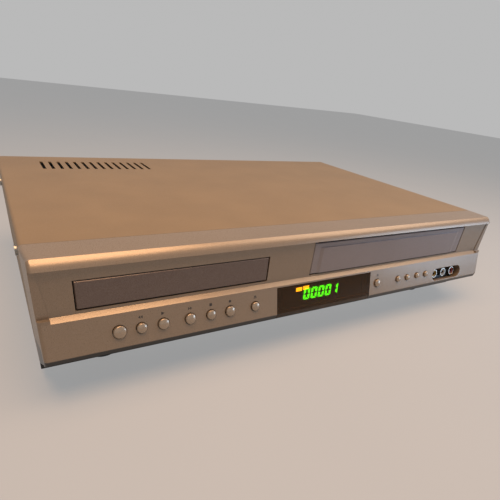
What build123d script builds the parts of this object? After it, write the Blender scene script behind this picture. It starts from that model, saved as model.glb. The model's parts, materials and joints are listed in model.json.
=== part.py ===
"""A set-top player with a disc tray on the left and a video cassette deck on the right.

Millimetres, +X to the right seen from the front, +Y to the back, +Z up. The origin is the middle
of the cabinet's footprint, on the surface that the feet stand on.
"""
from build123d import *
import math
import os

os.makedirs("parts", exist_ok=True)

# ---------------------------------------------------------------- driving sizes
cabinet_width = 435.0
measured_width = 435.0       # width for which the places along the front and the back are given
cabinet_height = 94.0
overall_depth = 300.0        # lip of the front panel to the tips of the rear sockets
socket_reach = 8.0           # how far the rear sockets stand out of the back
foot_height = 9.0
cover_sheet = 1.0
pan_sheet = 1.0
rear_sheet = 0.8
seam_gap = 0.2               # visible line between cover and bezel
running_gap = 0.3            # between pieces that pass one another
shaft_gap = 0.05             # radial, shaft in its bearing

# front bezel, depths measured back from the lip of the lower panel
bezel_wall = 2.2
bezel_depth = 34.5
bezel_draw = 1.5             # each side draws in towards the front
bezel_corner = 2.4
brow_top_depth = 11.2
brow_low_depth = 6.3
brow_low_z = 88.3
recess_depth = 8.9           # plane of the upper face
recess_margin = 3.3          # cheek beside the upper face, at its top
recess_lean = 3.7            # and how much wider it is at its foot
ledge_top_z = 58.2
ledge_depth = 5.44
ledge_z = 56.0
lip_z = 34.2                 # lower edge of the sloped panel
lip_low_depth = 1.2
lip_low_z = 30.3
undercut_depth = 29.5
undercut_z = 14.0
cheek_step = 0.5             # how far the cheeks stand proud of the upper face

# doors
tray_door_x = -127.25
tray_door_width = 133.5
tray_door_low = 60.9
tray_door_high = 79.3
tray_door_thick = 2.4
door_gap = 0.7
cassette_door_x = 78.4
cassette_door_width = 193.6
cassette_door_low = 60.2
cassette_door_high = 86.2
cassette_door_thick = 2.0
door_field = 0.8             # how far the door's middle stands proud
cassette_pivot_depth = 11.3
cassette_pivot_z = 87.4

# lower panel, measured down its slope from the ledge
button_row = 12.2
button_places = {            # along the front, and the hole's diameter
    "power_button": (-171.6, 9.5),
    "rewind_button": (-157.6, 8.0),
    "play_button": (-143.0, 8.6),
    "fast_forward_button": (-124.0, 8.6),
    "stop_button": (-108.3, 8.0),
    "record_button": (-93.1, 8.6),
    "open_close_button": (-71.9, 8.0),
    "eject_button": (58.2, 8.0),
    "small_button_1": (86.0, 6.5),
    "small_button_2": (99.2, 6.5),
    "small_button_3": (113.2, 6.5),
    "small_button_4": (126.4, 6.5),
}
button_gap = 0.5            # round each cap
button_rise = 1.1            # rim of the cap above the panel
button_flange = 1.2
button_travel = 0.8
window_x = -1.5
window_width = 101.0
window_top = 1.2
window_low = 22.9
window_thick = 2.0
board_set_back = 11.0        # front board behind the panel's outer face
board_thick = 1.6
front_board_height = 19.0
front_board_end_gap = 9.8
front_boss_xs = (-190.0, -82.5, 72.0, 197.0)
av_x = 161.0
av_width = 46.0
av_top = 9.3
av_low = 21.6
av_wall = 1.0
av_floor_depth = 9.0
av_seat = 0.3                # between the collar and the socket block
socket_set_back = 4.0        # tips of the sockets, behind the panel
socket_pitch = 14.0
socket_radius = 4.15
socket_bore = 3.4            # rim of the contact sleeve
pin_hole_radius = 1.65       # centre contact

# disc drive
drive_wall = 2.25
drive_side_room = 5.6        # drive frame beyond the tray door's opening
drive_top_z = 80.0
drive_floor_z = 50.0
drive_floor_thick = 2.0
drive_front = 38.0
drive_back = 205.0
tray_half = 64.5
tray_flange = 2.4
tray_low_z = 66.0
tray_high_z = 76.0
tray_front_depth = 11.3
tray_main_back = 152.0
tray_back = 200.0
disc_centre_depth = 84.0
disc_radius = 61.0
small_disc_radius = 41.0
disc_recess = 3.0
small_disc_recess = 1.2
tray_slot_half = 19.5
gear_module = 1.0
pinion_teeth = 18
rack_teeth = 50
tray_teeth_travel = 45       # whole teeth, so the mesh is alike at both ends
gear_backlash = 0.4
pinion_depth = 45.0
pulley_radius = 13.0
motor_pulley_radius = 4.2
motor_x_offset = 46.0
loading_motor_radius = 10.0
turntable_radius = 15.0
boss_radius = 7.4
traverse_pivot_depth = 182.0
traverse_half = 42.0
traverse_thick = 1.5
traverse_low_z = 56.5
rail_offset = 30.0
rail_radius = 1.5
rail_z = 54.0
pickup_front = 97.5
pickup_length = 23.0
pickup_travel = 34.0
puck_radius = 15.0
puck_neck = 12.0

# cassette deck
deck_z = 32.0                # underside of the deck plate
deck_thick = 2.0
deck_side = 110.0            # half width
deck_front = 46.0
deck_back = 262.0
cassette_width = 188.0
holder_clear = 1.0           # each side of the cassette
holder_sheet = 1.0
holder_front = 39.5
holder_length = 64.0
holder_low_z = 59.7
holder_high_z = 88.2
holder_travel_back = 60.0
holder_travel_down = 20.5
holder_ledge = 8.0
slider_gap = 0.4
slider_sheet = 1.0
bracket_gap = 0.3
bracket_sheet = 2.0
guide_pin = 2.0
reel_offset = 46.75
reel_depth = 100.5
reel_radius = 20.0
drum_radius = 31.0
drum_depth = 208.0
drum_tilt = 5.0
capstan_x = 66.0
capstan_depth = 168.0
capstan_radius = 2.5
flywheel_radius = 28.0
pinch_radius = 6.5
pinch_pivot_x = 89.6
pinch_pivot_depth = 180.0
pinch_arm_length = 30.3
pinch_rest_angle = 249.5
guide_rest_x = 26.0
guide_rest_depth = 146.0
guide_run_x = 12.0
guide_run_depth = 54.0

# feet, screws, boards
foot_radius = 13.0
foot_x = 175.0
foot_front = 52.0
foot_back = 262.0
screw_head_radius = 3.5
screw_head_rise = 1.6
screw_shank = 1.5
side_screw_depths = (68.0, 250.0)
side_screw_z = 78.0
rear_screw_inset = 12.5      # outer screws, from the side
rear_screw_z = 87.0
board_z = 14.0

# ---------------------------------------------------------------- derived places
front_y = -overall_depth / 2
half_width = cabinet_width / 2
rear_face_y = overall_depth / 2 - socket_reach
body_low_z = foot_height
pan_top_z = body_low_z + pan_sheet
cover_front_y = front_y + bezel_depth + seam_gap
cover_inner_half = half_width - cover_sheet
rear_panel_y = rear_face_y - cover_sheet          # outer face of the rear panel, under the hem
bezel_front_half = half_width - bezel_draw
recess_top_half = bezel_front_half - recess_margin
recess_low_half = recess_top_half - recess_lean
rear_screw_xs = (rear_screw_inset - half_width, 0.0, half_width - rear_screw_inset)


def spread(x):
    """A place along the front or the back, kept in proportion to the cabinet's width."""
    return x * cabinet_width / measured_width


drive_x = spread(tray_door_x)
deck_x = spread(cassette_door_x)
tray_door_left = drive_x - tray_door_width / 2
tray_door_right = drive_x + tray_door_width / 2
cassette_door_left = deck_x - cassette_door_width / 2
cassette_door_right = deck_x + cassette_door_width / 2
window_left = spread(window_x) - window_width / 2
window_right = spread(window_x) + window_width / 2
av_centre_x = spread(av_x)
button_xs = {name: (spread(x), hole) for name, (x, hole) in button_places.items()}
drive_half = tray_door_width / 2 + door_gap + drive_side_room
slope = math.atan2(ledge_depth, ledge_z - lip_z)
slope_length = math.hypot(ledge_depth, ledge_z - lip_z)
deck_top_z = deck_z + deck_thick


def back(depth):
    """Y of a place that lies this far behind the lip of the front panel."""
    return front_y + depth


# Plane of the lower panel: +Y up its slope, +Z straight out of it, towards the user.
panel = Plane(
    origin=(0, back(ledge_depth), ledge_z),
    x_dir=(1, 0, 0),
    z_dir=(0, -math.cos(slope), math.sin(slope)),
)


def block(x_range, y_range, z_range, mode=Mode.ADD):
    """A block between two values on each axis."""
    centre = [(low + high) / 2 for low, high in (x_range, y_range, z_range)]
    with Locations(tuple(centre)):
        Box(
            x_range[1] - x_range[0],
            y_range[1] - y_range[0],
            z_range[1] - z_range[0],
            mode=mode,
        )


def post(x, y, z_range, radius, mode=Mode.ADD):
    """An upright cylinder."""
    with Locations((x, y, (z_range[0] + z_range[1]) / 2)):
        Cylinder(radius, z_range[1] - z_range[0], mode=mode)


def keep(piece, name):
    """Label a finished piece and write it."""
    piece.part.label = name
    export_step(piece.part, f"parts/{name}.step")


def tooth(root_radius, tip_radius, thickness, module):
    """One straight-flanked tooth pointing along +X, added to the current sketch."""
    lean = (tip_radius - root_radius) * math.tan(math.radians(20))
    wide = thickness / 2 + lean / 2
    narrow = thickness / 2 - lean / 2
    foot = root_radius - 0.3 * module
    Polygon(
        (foot, -wide), (tip_radius, -narrow), (tip_radius, narrow), (foot, wide), align=None
    )


# ================================================================ cabinet
# ---------------------------------------------------------------- front bezel
brow_mid = (
    (brow_top_depth + brow_low_depth) / 2 - 0.5,
    (cabinet_height + brow_low_z) / 2 + 0.5,
)

with BuildPart() as recess_tool:
    with BuildSketch(Plane.YZ.offset(-recess_top_half)):
        with BuildLine():
            Polyline(
                (back(recess_depth), brow_low_z),
                (back(recess_depth), ledge_top_z),
                (back(ledge_depth), ledge_z),
                (back(-2.0), ledge_z),
                (back(-2.0), brow_low_z),
                close=True,
            )
        make_face()
    extrude(amount=2 * recess_top_half)
    with BuildSketch(Plane.XZ.offset(-back(recess_depth))):
        with BuildLine():
            Polyline(
                (-recess_top_half, brow_low_z),
                (recess_top_half, brow_low_z),
                (recess_low_half, ledge_top_z),
                (recess_low_half, ledge_z),
                (-recess_low_half, ledge_z),
                (-recess_low_half, ledge_top_z),
                close=True,
            )
        make_face()
    extrude(amount=recess_depth + 4.0, mode=Mode.INTERSECT)

with BuildPart() as bezel_cavity:
    with BuildSketch(Plane.YZ.offset(-bezel_front_half + bezel_wall)):
        with BuildLine():
            Polyline(
                (back(bezel_depth + 2), cabinet_height - bezel_wall),
                (back(recess_depth + bezel_wall + 2.4), cabinet_height - bezel_wall),
                (back(recess_depth + bezel_wall), brow_low_z),
                (back(recess_depth + bezel_wall), ledge_top_z - bezel_wall / 2),
                (back(ledge_depth + bezel_wall), ledge_z - bezel_wall * 0.6),
                (back(bezel_wall), lip_z),
                (back(bezel_wall + 0.3), lip_low_z + bezel_wall * 1.2),
                (back(undercut_depth + bezel_wall / 2), undercut_z + bezel_wall),
                (back(undercut_depth + bezel_wall), body_low_z + bezel_wall),
                (back(bezel_depth + 2), body_low_z + bezel_wall),
                close=True,
            )
        make_face()
    extrude(amount=2 * (bezel_front_half - bezel_wall))

with BuildPart() as front_bezel:
    with BuildSketch(Plane.YZ.offset(-half_width)):
        with BuildLine():
            Polyline(
                (back(brow_low_depth), brow_low_z),
                (back(ledge_depth), ledge_z),
                (back(0), lip_z),
                (back(lip_low_depth), lip_low_z),
                (back(undercut_depth), undercut_z),
                (back(undercut_depth), body_low_z),
                (back(bezel_depth), body_low_z),
                (back(bezel_depth), cabinet_height),
                (back(brow_top_depth), cabinet_height),
            )
            ThreePointArc(
                (back(brow_top_depth), cabinet_height),
                (back(brow_mid[0]), brow_mid[1]),
                (back(brow_low_depth), brow_low_z),
            )
        make_face()
    extrude(amount=cabinet_width)
    # the sides draw in a little towards the front
    with BuildSketch(Plane.XY.offset(body_low_z)):
        with BuildLine():
            Polyline(
                (-half_width, back(bezel_depth)),
                (-half_width, back(bezel_depth - 5)),
                (-bezel_front_half, back(brow_top_depth + 3)),
                (-bezel_front_half, back(-1)),
                (bezel_front_half, back(-1)),
                (bezel_front_half, back(brow_top_depth + 3)),
                (half_width, back(bezel_depth - 5)),
                (half_width, back(bezel_depth)),
                close=True,
            )
        make_face()
    extrude(amount=cabinet_height - body_low_z, mode=Mode.INTERSECT)
    end_edges = front_bezel.edges().filter_by(
        lambda e: abs(e.center().X) > bezel_front_half - 0.2
        and (
            (e.center().Y < back(brow_top_depth) and e.center().Z > lip_low_z)
            or (e.center().Z > cabinet_height - 0.01)
        )
    )
    fillet(end_edges, bezel_corner)
    add(recess_tool.part, mode=Mode.SUBTRACT)
    add(bezel_cavity.part, mode=Mode.SUBTRACT)
    # openings in the upper face
    block(
        (tray_door_left - door_gap, tray_door_right + door_gap),
        (back(recess_depth - 1), back(recess_depth + bezel_wall + 1)),
        (tray_door_low - door_gap, tray_door_high + door_gap),
        mode=Mode.SUBTRACT,
    )
    block(
        (cassette_door_left - door_gap, cassette_door_right + door_gap),
        (back(recess_depth - 1), back(recess_depth + bezel_wall + 1)),
        (cassette_door_low - door_gap, brow_low_z),
        mode=Mode.SUBTRACT,
    )
    # the end cheeks are cut back to a low step beside the upper face
    for side in (-1, 1):
        block(
            tuple(sorted((side * (recess_top_half - 8), side * (half_width + 1)))),
            (back(-1), back(recess_depth - cheek_step)),
            (ledge_top_z, brow_low_z),
            mode=Mode.SUBTRACT,
        )
    # openings in the lower panel
    with BuildSketch(panel.offset(2)):
        for x, hole in button_xs.values():
            with Locations((x, -button_row)):
                Circle(hole / 2)
        with Locations(((window_left + window_right) / 2, -(window_top + window_low) / 2)):
            Rectangle(window_right - window_left, window_low - window_top)
        with Locations((av_centre_x, -(av_top + av_low) / 2)):
            SlotOverall(av_width, av_low - av_top)
    extrude(amount=-(bezel_wall + 3.5), mode=Mode.SUBTRACT)
    block(
        (window_left, window_right),
        (back(-1), back(lip_low_depth + window_thick + 0.1)),
        (lip_low_z - 2, lip_z + 2),
        mode=Mode.SUBTRACT,
    )
    # the collar round the recess of the front sockets
    for grow, collar_mode in ((av_wall, Mode.ADD), (0.0, Mode.SUBTRACT)):
        with BuildSketch(panel.offset(-bezel_wall + 0.3)):
            with Locations((av_centre_x, -(av_top + av_low) / 2)):
                SlotOverall(av_width + 2 * grow, av_low - av_top + 2 * grow)
        extrude(amount=-(av_floor_depth - av_seat - bezel_wall + 0.3), mode=collar_mode)
    # pockets behind the brow for the cassette door's knuckles
    for x in (cassette_door_left + 1.5, cassette_door_right - 1.5):
        block(
            (x - 2.0, x + 2.0),
            (back(recess_depth + 0.6), back(cassette_pivot_depth + 3.5)),
            (cassette_door_high - 1, cassette_pivot_z + 2.3),
            mode=Mode.SUBTRACT,
        )
    # bosses that carry the front board
    with BuildSketch(panel.offset(-bezel_wall + 0.2)):
        for x in front_boss_xs:
            with Locations((spread(x), -button_row)):
                Circle(3)
    extrude(amount=-(board_set_back - bezel_wall + 0.2))
    # ears that carry the cassette door's pins
    for side, x in ((-1, cassette_door_left - door_gap), (1, cassette_door_right + door_gap)):
        block(
            tuple(sorted((x, x + side * 2.4))),
            (back(recess_depth + bezel_wall - 0.1), back(cassette_pivot_depth + 3.5)),
            (cassette_pivot_z - 4, cabinet_height - bezel_wall + 0.1),
        )
    with BuildSketch(Plane.YZ.offset(cassette_door_left - 5)):
        with Locations((back(cassette_pivot_depth), cassette_pivot_z)):
            Circle(1.2 + shaft_gap)
    extrude(amount=cassette_door_right - cassette_door_left + 10, mode=Mode.SUBTRACT)
keep(front_bezel, "front_bezel")

# ---------------------------------------------------------------- top cover
with BuildPart() as top_cover:
    with BuildSketch(Plane.XZ.offset(-cover_front_y)) as cover_shape:
        with Locations((0, (cabinet_height + pan_top_z) / 2)):
            Rectangle(cabinet_width, cabinet_height - pan_top_z)
        fillet(cover_shape.vertices().group_by(Axis.Y)[-1], bezel_corner)
    extrude(amount=-(rear_face_y - cover_front_y))
    with BuildSketch(Plane.XZ.offset(-cover_front_y + 1)) as cover_hollow:
        with Locations((0, (cabinet_height - cover_sheet + pan_top_z) / 2 - 1)):
            Rectangle(2 * cover_inner_half, cabinet_height - cover_sheet - pan_top_z + 2)
        fillet(cover_hollow.vertices().group_by(Axis.Y)[-1], bezel_corner - cover_sheet)
    extrude(amount=-(rear_panel_y - cover_front_y + 1), mode=Mode.SUBTRACT)
    # the rear hem is open where the back shows
    block(
        (-half_width + 9, half_width - 9),
        (rear_panel_y - 1, rear_face_y + 1),
        (0, cabinet_height - 12),
        mode=Mode.SUBTRACT,
    )
    for x in rear_screw_xs:
        with Locations(Location((x, rear_face_y, rear_screw_z), (90, 0, 0))):
            Cylinder(screw_shank + 0.1, 6 * cover_sheet, mode=Mode.SUBTRACT)
    for depth in side_screw_depths:
        with Locations(Location((0, back(depth), side_screw_z), (0, 90, 0))):
            Cylinder(screw_shank + 0.1, cabinet_width + 4, mode=Mode.SUBTRACT)
    # louvre slots low on both sides and in the top over the power board
    with Locations((0, back(205), 40)):
        with GridLocations(0, 7.5, 1, 12):
            Box(cabinet_width + 4, 3.0, 20, mode=Mode.SUBTRACT)
    with Locations((drive_x, back(250), cabinet_height)):
        with GridLocations(8.0, 0, 14, 1):
            Box(3.0, 34, 6, mode=Mode.SUBTRACT)
keep(top_cover, "top_cover")

# ---------------------------------------------------------------- base pan
pan_front_y = back(bezel_depth)
pan_back_y = rear_panel_y - rear_sheet
pan_side_top = side_screw_z + 7
with BuildPart() as base_pan:
    block((-cover_inner_half, cover_inner_half), (pan_front_y, pan_back_y), (body_low_z, pan_top_z))
    for side in (-1, 1):
        edge = side * cover_inner_half
        block(
            tuple(sorted((edge, edge - side * pan_sheet))),
            (cover_front_y, pan_back_y),
            (body_low_z, pan_side_top),
        )
        block(
            tuple(sorted((side * 40, side * (half_width - rear_screw_inset)))),
            (pan_front_y, pan_front_y + pan_sheet),
            (body_low_z, body_low_z + 12),
        )
    for depth in side_screw_depths:
        with Locations(Location((0, back(depth), side_screw_z), (0, 90, 0))):
            Cylinder(screw_shank + 0.1, cabinet_width + 4, mode=Mode.SUBTRACT)
    with Locations((0, back(205), 40)):
        with GridLocations(0, 7.5, 1, 12):
            Box(cabinet_width + 4, 3.0, 20, mode=Mode.SUBTRACT)
    with Locations((drive_x, back(150), body_low_z)):
        with GridLocations(9.0, 0, 12, 1):
            Box(3.0, 50, 6, mode=Mode.SUBTRACT)
    for depth in (foot_front, foot_back):
        for x in (-foot_x, foot_x):
            post(x, back(depth), (body_low_z - 1, pan_top_z + 1), 3.1, mode=Mode.SUBTRACT)
keep(base_pan, "base_pan")

# ---------------------------------------------------------------- feet
with BuildPart() as feet:
    for depth in (foot_front, foot_back):
        for x in (-foot_x, foot_x):
            with Locations((x, back(depth), 0)):
                Cone(
                    foot_radius - 1.5, foot_radius, foot_height,
                    align=(Align.CENTER, Align.CENTER, Align.MIN),
                )
            post(x, back(depth), (foot_height, pan_top_z + 2.0), 3.0)
keep(feet, "feet")

# ---------------------------------------------------------------- rear panel and sockets
socket_columns = 3
socket_rows = 3
socket_spacing = 15.0
socket_block_x = spread(90.0)
socket_block_z = 45.0
component_x = spread(155.0)
inlet_x = spread(-178.0)
inlet_z = 32.0
inlet_width = 20.0
inlet_height = 12.0
shank_radius = 3.8           # of a rear socket, inside its block
shank_length = 8.0
shank_gap = 0.02
seat_wall = 1.3              # boss of the block round each socket, flush with the rear panel


def rear_sockets():
    """Centres of the rear sockets, as X and Z."""
    places = []
    for column in range(socket_columns):
        for row in range(socket_rows):
            x = socket_block_x + (column - 1) * socket_spacing
            z = socket_block_z + (row - 1) * socket_spacing
            places.append((x, z))
    for column in range(3):
        places.append((component_x + (column - 1) * socket_spacing, socket_block_z - socket_spacing))
    return places


with BuildPart() as rear_panel:
    block(
        (-cover_inner_half + pan_sheet, cover_inner_half - pan_sheet),
        (rear_panel_y - rear_sheet, rear_panel_y),
        (body_low_z, cabinet_height - cover_sheet - running_gap),
    )
    with BuildSketch(Plane.XZ.offset(-rear_panel_y)):
        for x, z in rear_sockets():
            with Locations((x, z)):
                Circle(socket_radius + seat_wall + running_gap)
        with Locations((inlet_x, inlet_z)):
            SlotOverall(inlet_width + 1, inlet_height + 1)
        for x in rear_screw_xs:
            with Locations((x, rear_screw_z)):
                Circle(screw_shank + 0.1)
        with Locations((spread(-60), 52)):
            with GridLocations(7.0, 0, 16, 1):
                SlotOverall(34, 3.2, rotation=90)
    extrude(amount=-3, both=True, mode=Mode.SUBTRACT)
keep(rear_panel, "rear_panel")

with BuildPart() as rear_jack_block:
    depth_of_block = 14.0
    inner_y = rear_panel_y - rear_sheet
    block(
        (socket_block_x - 1.6 * socket_spacing, socket_block_x + 1.6 * socket_spacing),
        (inner_y - depth_of_block, inner_y),
        (board_z + board_thick, socket_block_z + 1.6 * socket_spacing),
    )
    block(
        (component_x - 1.6 * socket_spacing, component_x + 1.6 * socket_spacing),
        (inner_y - depth_of_block, inner_y),
        (board_z + board_thick, socket_block_z - 0.4 * socket_spacing),
    )
    with BuildSketch(Plane.XZ.offset(-rear_panel_y)):
        for x, z in rear_sockets():
            with Locations((x, z)):
                Circle(socket_radius + seat_wall)
    extrude(amount=rear_sheet)
    with BuildSketch(Plane.XZ.offset(-rear_panel_y)):
        for x, z in rear_sockets():
            with Locations((x, z)):
                Circle(shank_radius + shank_gap)
    extrude(amount=rear_sheet + shank_length, mode=Mode.SUBTRACT)
keep(rear_jack_block, "rear_jack_block")

with BuildPart() as rear_jack_shells:
    socket_mouth = Plane.XZ.offset(-overall_depth / 2)
    with BuildSketch(socket_mouth):
        for x, z in rear_sockets():
            with Locations((x, z)):
                Circle(socket_radius)
    extrude(amount=overall_depth / 2 - rear_panel_y)
    with BuildSketch(socket_mouth):
        for x, z in rear_sockets():
            with Locations((x, z)):
                Circle(shank_radius)
    extrude(amount=overall_depth / 2 - inner_y + shank_length)
    for hole_radius, hole_depth in ((socket_bore, 1.0), (pin_hole_radius, 14.0)):
        with BuildSketch(socket_mouth):
            for x, z in rear_sockets():
                with Locations((x, z)):
                    Circle(hole_radius)
        extrude(amount=hole_depth, mode=Mode.SUBTRACT)
keep(rear_jack_shells, "rear_jack_shells")

with BuildPart() as mains_inlet:
    block(
        (inlet_x - inlet_width / 2 - 4, inlet_x + inlet_width / 2 + 4),
        (inner_y - 16, inner_y),
        (inlet_z - inlet_height / 2 - 4, inlet_z + inlet_height / 2 + 4),
    )
    with BuildSketch(Plane.XZ.offset(-inner_y)):
        with Locations((inlet_x, inlet_z)):
            SlotOverall(inlet_width, inlet_height)
    extrude(amount=-3)
    with BuildSketch(Plane.XZ.offset(-(inner_y + 3))):
        with Locations((inlet_x, inlet_z)):
            SlotOverall(inlet_width - 4, inlet_height - 4)
    extrude(amount=15, mode=Mode.SUBTRACT)
    for side in (-1, 1):
        with Locations(Location((inlet_x + side * 4.3, inner_y - 6, inlet_z), (90, 0, 0))):
            Cylinder(1.2, 14)
keep(mains_inlet, "mains_inlet")

with BuildPart() as cover_screws:
    for side in (-1, 1):
        for depth in side_screw_depths:
            head_x = side * (half_width + screw_head_rise / 2)
            shank_x = side * (half_width - 3)
            with Locations(Location((head_x, back(depth), side_screw_z), (0, 90, 0))):
                Cylinder(screw_head_radius, screw_head_rise)
            with Locations(Location((shank_x, back(depth), side_screw_z), (0, 90, 0))):
                Cylinder(screw_shank, 6)
            with Locations((side * (half_width + screw_head_rise), back(depth), side_screw_z)):
                Box(1.2, 4.2, 0.9, mode=Mode.SUBTRACT)
                Box(1.2, 0.9, 4.2, mode=Mode.SUBTRACT)
    for x in rear_screw_xs:
        with Locations(Location((x, rear_face_y + screw_head_rise / 2, rear_screw_z), (90, 0, 0))):
            Cylinder(screw_head_radius, screw_head_rise)
        with Locations(Location((x, rear_face_y - 3, rear_screw_z), (90, 0, 0))):
            Cylinder(screw_shank, 6)
        with Locations((x, rear_face_y + screw_head_rise, rear_screw_z)):
            Box(4.2, 1.2, 0.9, mode=Mode.SUBTRACT)
            Box(0.9, 1.2, 4.2, mode=Mode.SUBTRACT)
keep(cover_screws, "cover_screws")

# ================================================================ front controls
with BuildPart() as display_window:
    with BuildSketch(panel):
        with Locations(((window_left + window_right) / 2, -(window_top + slope_length) / 2)):
            Rectangle(window_right - window_left - 0.2, slope_length - window_top - 0.1)
    extrude(amount=-window_thick)
    # turned under at the lip
    with BuildSketch(Plane.YZ.offset(window_left + 0.1)):
        with BuildLine():
            Polyline(
                (back(0.0), lip_z),
                (back(lip_low_depth), lip_low_z),
                (back(lip_low_depth + window_thick), lip_low_z),
                (back(lip_low_depth + window_thick), lip_z + 1.8),
                close=True,
            )
        make_face()
    extrude(amount=window_right - window_left - 0.2)
keep(display_window, "display_window")

with BuildPart() as front_board:
    with BuildSketch(panel.offset(-board_set_back)):
        with Locations((0, -button_row)):
            Rectangle(2 * (bezel_front_half - bezel_wall - front_board_end_gap), front_board_height)
    extrude(amount=-board_thick)
    for x, hole in button_xs.values():
        with BuildSketch(panel.offset(-board_set_back)):
            with Locations((x, -button_row)):
                Rectangle(6, 6)
        extrude(amount=3.5)
        with BuildSketch(panel.offset(-board_set_back + 3.5)):
            with Locations((x, -button_row)):
                Circle(1.7)
        extrude(amount=0.8)
keep(front_board, "front_board")
switch_top = board_set_back - 4.3            # plunger tip, behind the panel's outer face

with BuildPart() as display_module:
    with BuildSketch(panel.offset(-board_set_back)):
        with Locations(((window_left + window_right) / 2, -12)):
            Rectangle(window_right - window_left - 14, 17)
    extrude(amount=board_set_back - bezel_wall - 1.0)
keep(display_module, "display_module")

for name, (x, hole) in button_xs.items():
    cap_radius = hole / 2 - button_gap
    with BuildPart() as button:
        with BuildSketch(panel.offset(-bezel_wall - running_gap)):
            with Locations((x, -button_row)):
                Circle(cap_radius)
        extrude(amount=bezel_wall + running_gap + button_rise)
        with BuildSketch(panel.offset(-bezel_wall - running_gap)):
            with Locations((x, -button_row)):
                Circle(hole / 2 + button_flange)
        extrude(amount=-1.0)
        with BuildSketch(panel.offset(-bezel_wall - running_gap - 1.0)):
            with Locations((x, -button_row)):
                Circle(1.8)
        extrude(amount=-(switch_top - bezel_wall - running_gap - 1.0 - button_travel - running_gap))
    keep(button, name)

with BuildPart() as front_jack_block:
    av_height = av_low - av_top
    with BuildSketch(panel.offset(-av_floor_depth)):
        with Locations((av_centre_x, -(av_top + av_low) / 2)):
            SlotOverall(av_width + 2 * av_wall, av_height + 2 * av_wall)
    extrude(amount=-(board_set_back - av_floor_depth))
    with BuildSketch(panel.offset(-av_floor_depth)):
        with Locations((av_centre_x, -(av_top + av_low) / 2)):
            with GridLocations(socket_pitch, 0, 3, 1):
                Circle(pin_hole_radius)
    extrude(amount=-3, mode=Mode.SUBTRACT)
keep(front_jack_block, "front_jack_block")

with BuildPart() as front_jack_shells:
    for circle_radius, start, length, jack_mode in (
        (socket_radius, av_floor_depth, av_floor_depth - socket_set_back, Mode.ADD),
        (socket_bore, socket_set_back + 1.0, 2.0, Mode.SUBTRACT),
        (pin_hole_radius, av_floor_depth, av_floor_depth, Mode.SUBTRACT),
    ):
        with BuildSketch(panel.offset(-start)):
            with Locations((av_centre_x, -(av_top + av_low) / 2)):
                with GridLocations(socket_pitch, 0, 3, 1):
                    Circle(circle_radius)
        extrude(amount=length, mode=jack_mode)
keep(front_jack_shells, "front_jack_shells")

# ================================================================ electronics
main_board_half = 100.0
main_board_front = 60.0
power_board_length = 61.2
power_board_gap = 17.0       # to the back of the pan
stand_off_inset = 8.0
with BuildPart() as main_board:
    board_top = board_z + board_thick
    board_front = back(main_board_front)
    board_back = pan_back_y - 0.5
    block((deck_x - main_board_half, deck_x + main_board_half), (board_front, board_back), (board_z, board_top))
    for x in (stand_off_inset + 2 - main_board_half, main_board_half - stand_off_inset - 2):
        for y in (board_front + stand_off_inset + 2, board_back - stand_off_inset):
            post(deck_x + x, y, (pan_top_z, board_z), 3.5)
    for x, y, size, tall in (
        (-60, board_front + 30, 26, 3),
        (0, board_front + 24, 18, 3),
        (40, board_front + 36, 22, 3),
        (-75, board_front + 80, 14, 8),
        (-40, board_back - 50, 20, 3),
    ):
        block(
            (deck_x + x - size / 2, deck_x + x + size / 2),
            (y - size / 2, y + size / 2),
            (board_top, board_top + tall),
        )
    for x in (20, 32, 44):
        post(deck_x + x, board_front + 66, (board_top, board_top + 9), 4)
keep(main_board, "main_board")

with BuildPart() as power_board:
    board_x = (drive_x - 66.0, drive_x + 62.0)
    power_back = pan_back_y - power_board_gap
    power_front = power_back - power_board_length
    block(board_x, (power_front, power_back), (board_z, board_top))
    for x in (board_x[0] + stand_off_inset, board_x[1] - stand_off_inset):
        for y in (power_front + stand_off_inset - 2, power_back - stand_off_inset):
            post(x, y, (pan_top_z, board_z), 3.5)
    # transformer core and winding, smoothing capacitors, finned heat sink
    core_y = power_front + 26.5
    block((drive_x - 20, drive_x + 10), (core_y - 13.5, core_y + 13.5), (board_top, board_top + 20))
    block((drive_x - 24, drive_x + 14), (core_y - 7.5, core_y + 7.5), (board_top, board_top + 25))
    for x, radius, tall in ((-48, 9, 30), (26, 6, 20), (40, 6, 20), (54, 5, 16)):
        post(drive_x + x, core_y - 0.5, (board_top, board_top + tall), radius)
    sink_y = power_back - 12.2
    block((drive_x - 40, drive_x + 40), (sink_y - 1, sink_y + 1), (board_top, board_top + 30))
    with Locations((drive_x, sink_y + 3, board_top + 15)):
        with GridLocations(8, 0, 9, 1):
            Box(1.5, 6, 30)
keep(power_board, "power_board")

# ================================================================ disc drive
pinion_radius = pinion_teeth * gear_module / 2
rack_line_x = drive_x - tray_half + 4.6
pinion_x = rack_line_x + pinion_radius
disc_y = back(disc_centre_depth)
drive_inner = drive_half - drive_wall
flange_low_z = 69.0
flange_high_z = 71.0
pulley_low_z = drive_floor_z + drive_floor_thick + 1.0
pulley_high_z = pulley_low_z + 4.0
rack_low_z = 61.0
axle_radius = 1.5

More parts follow.
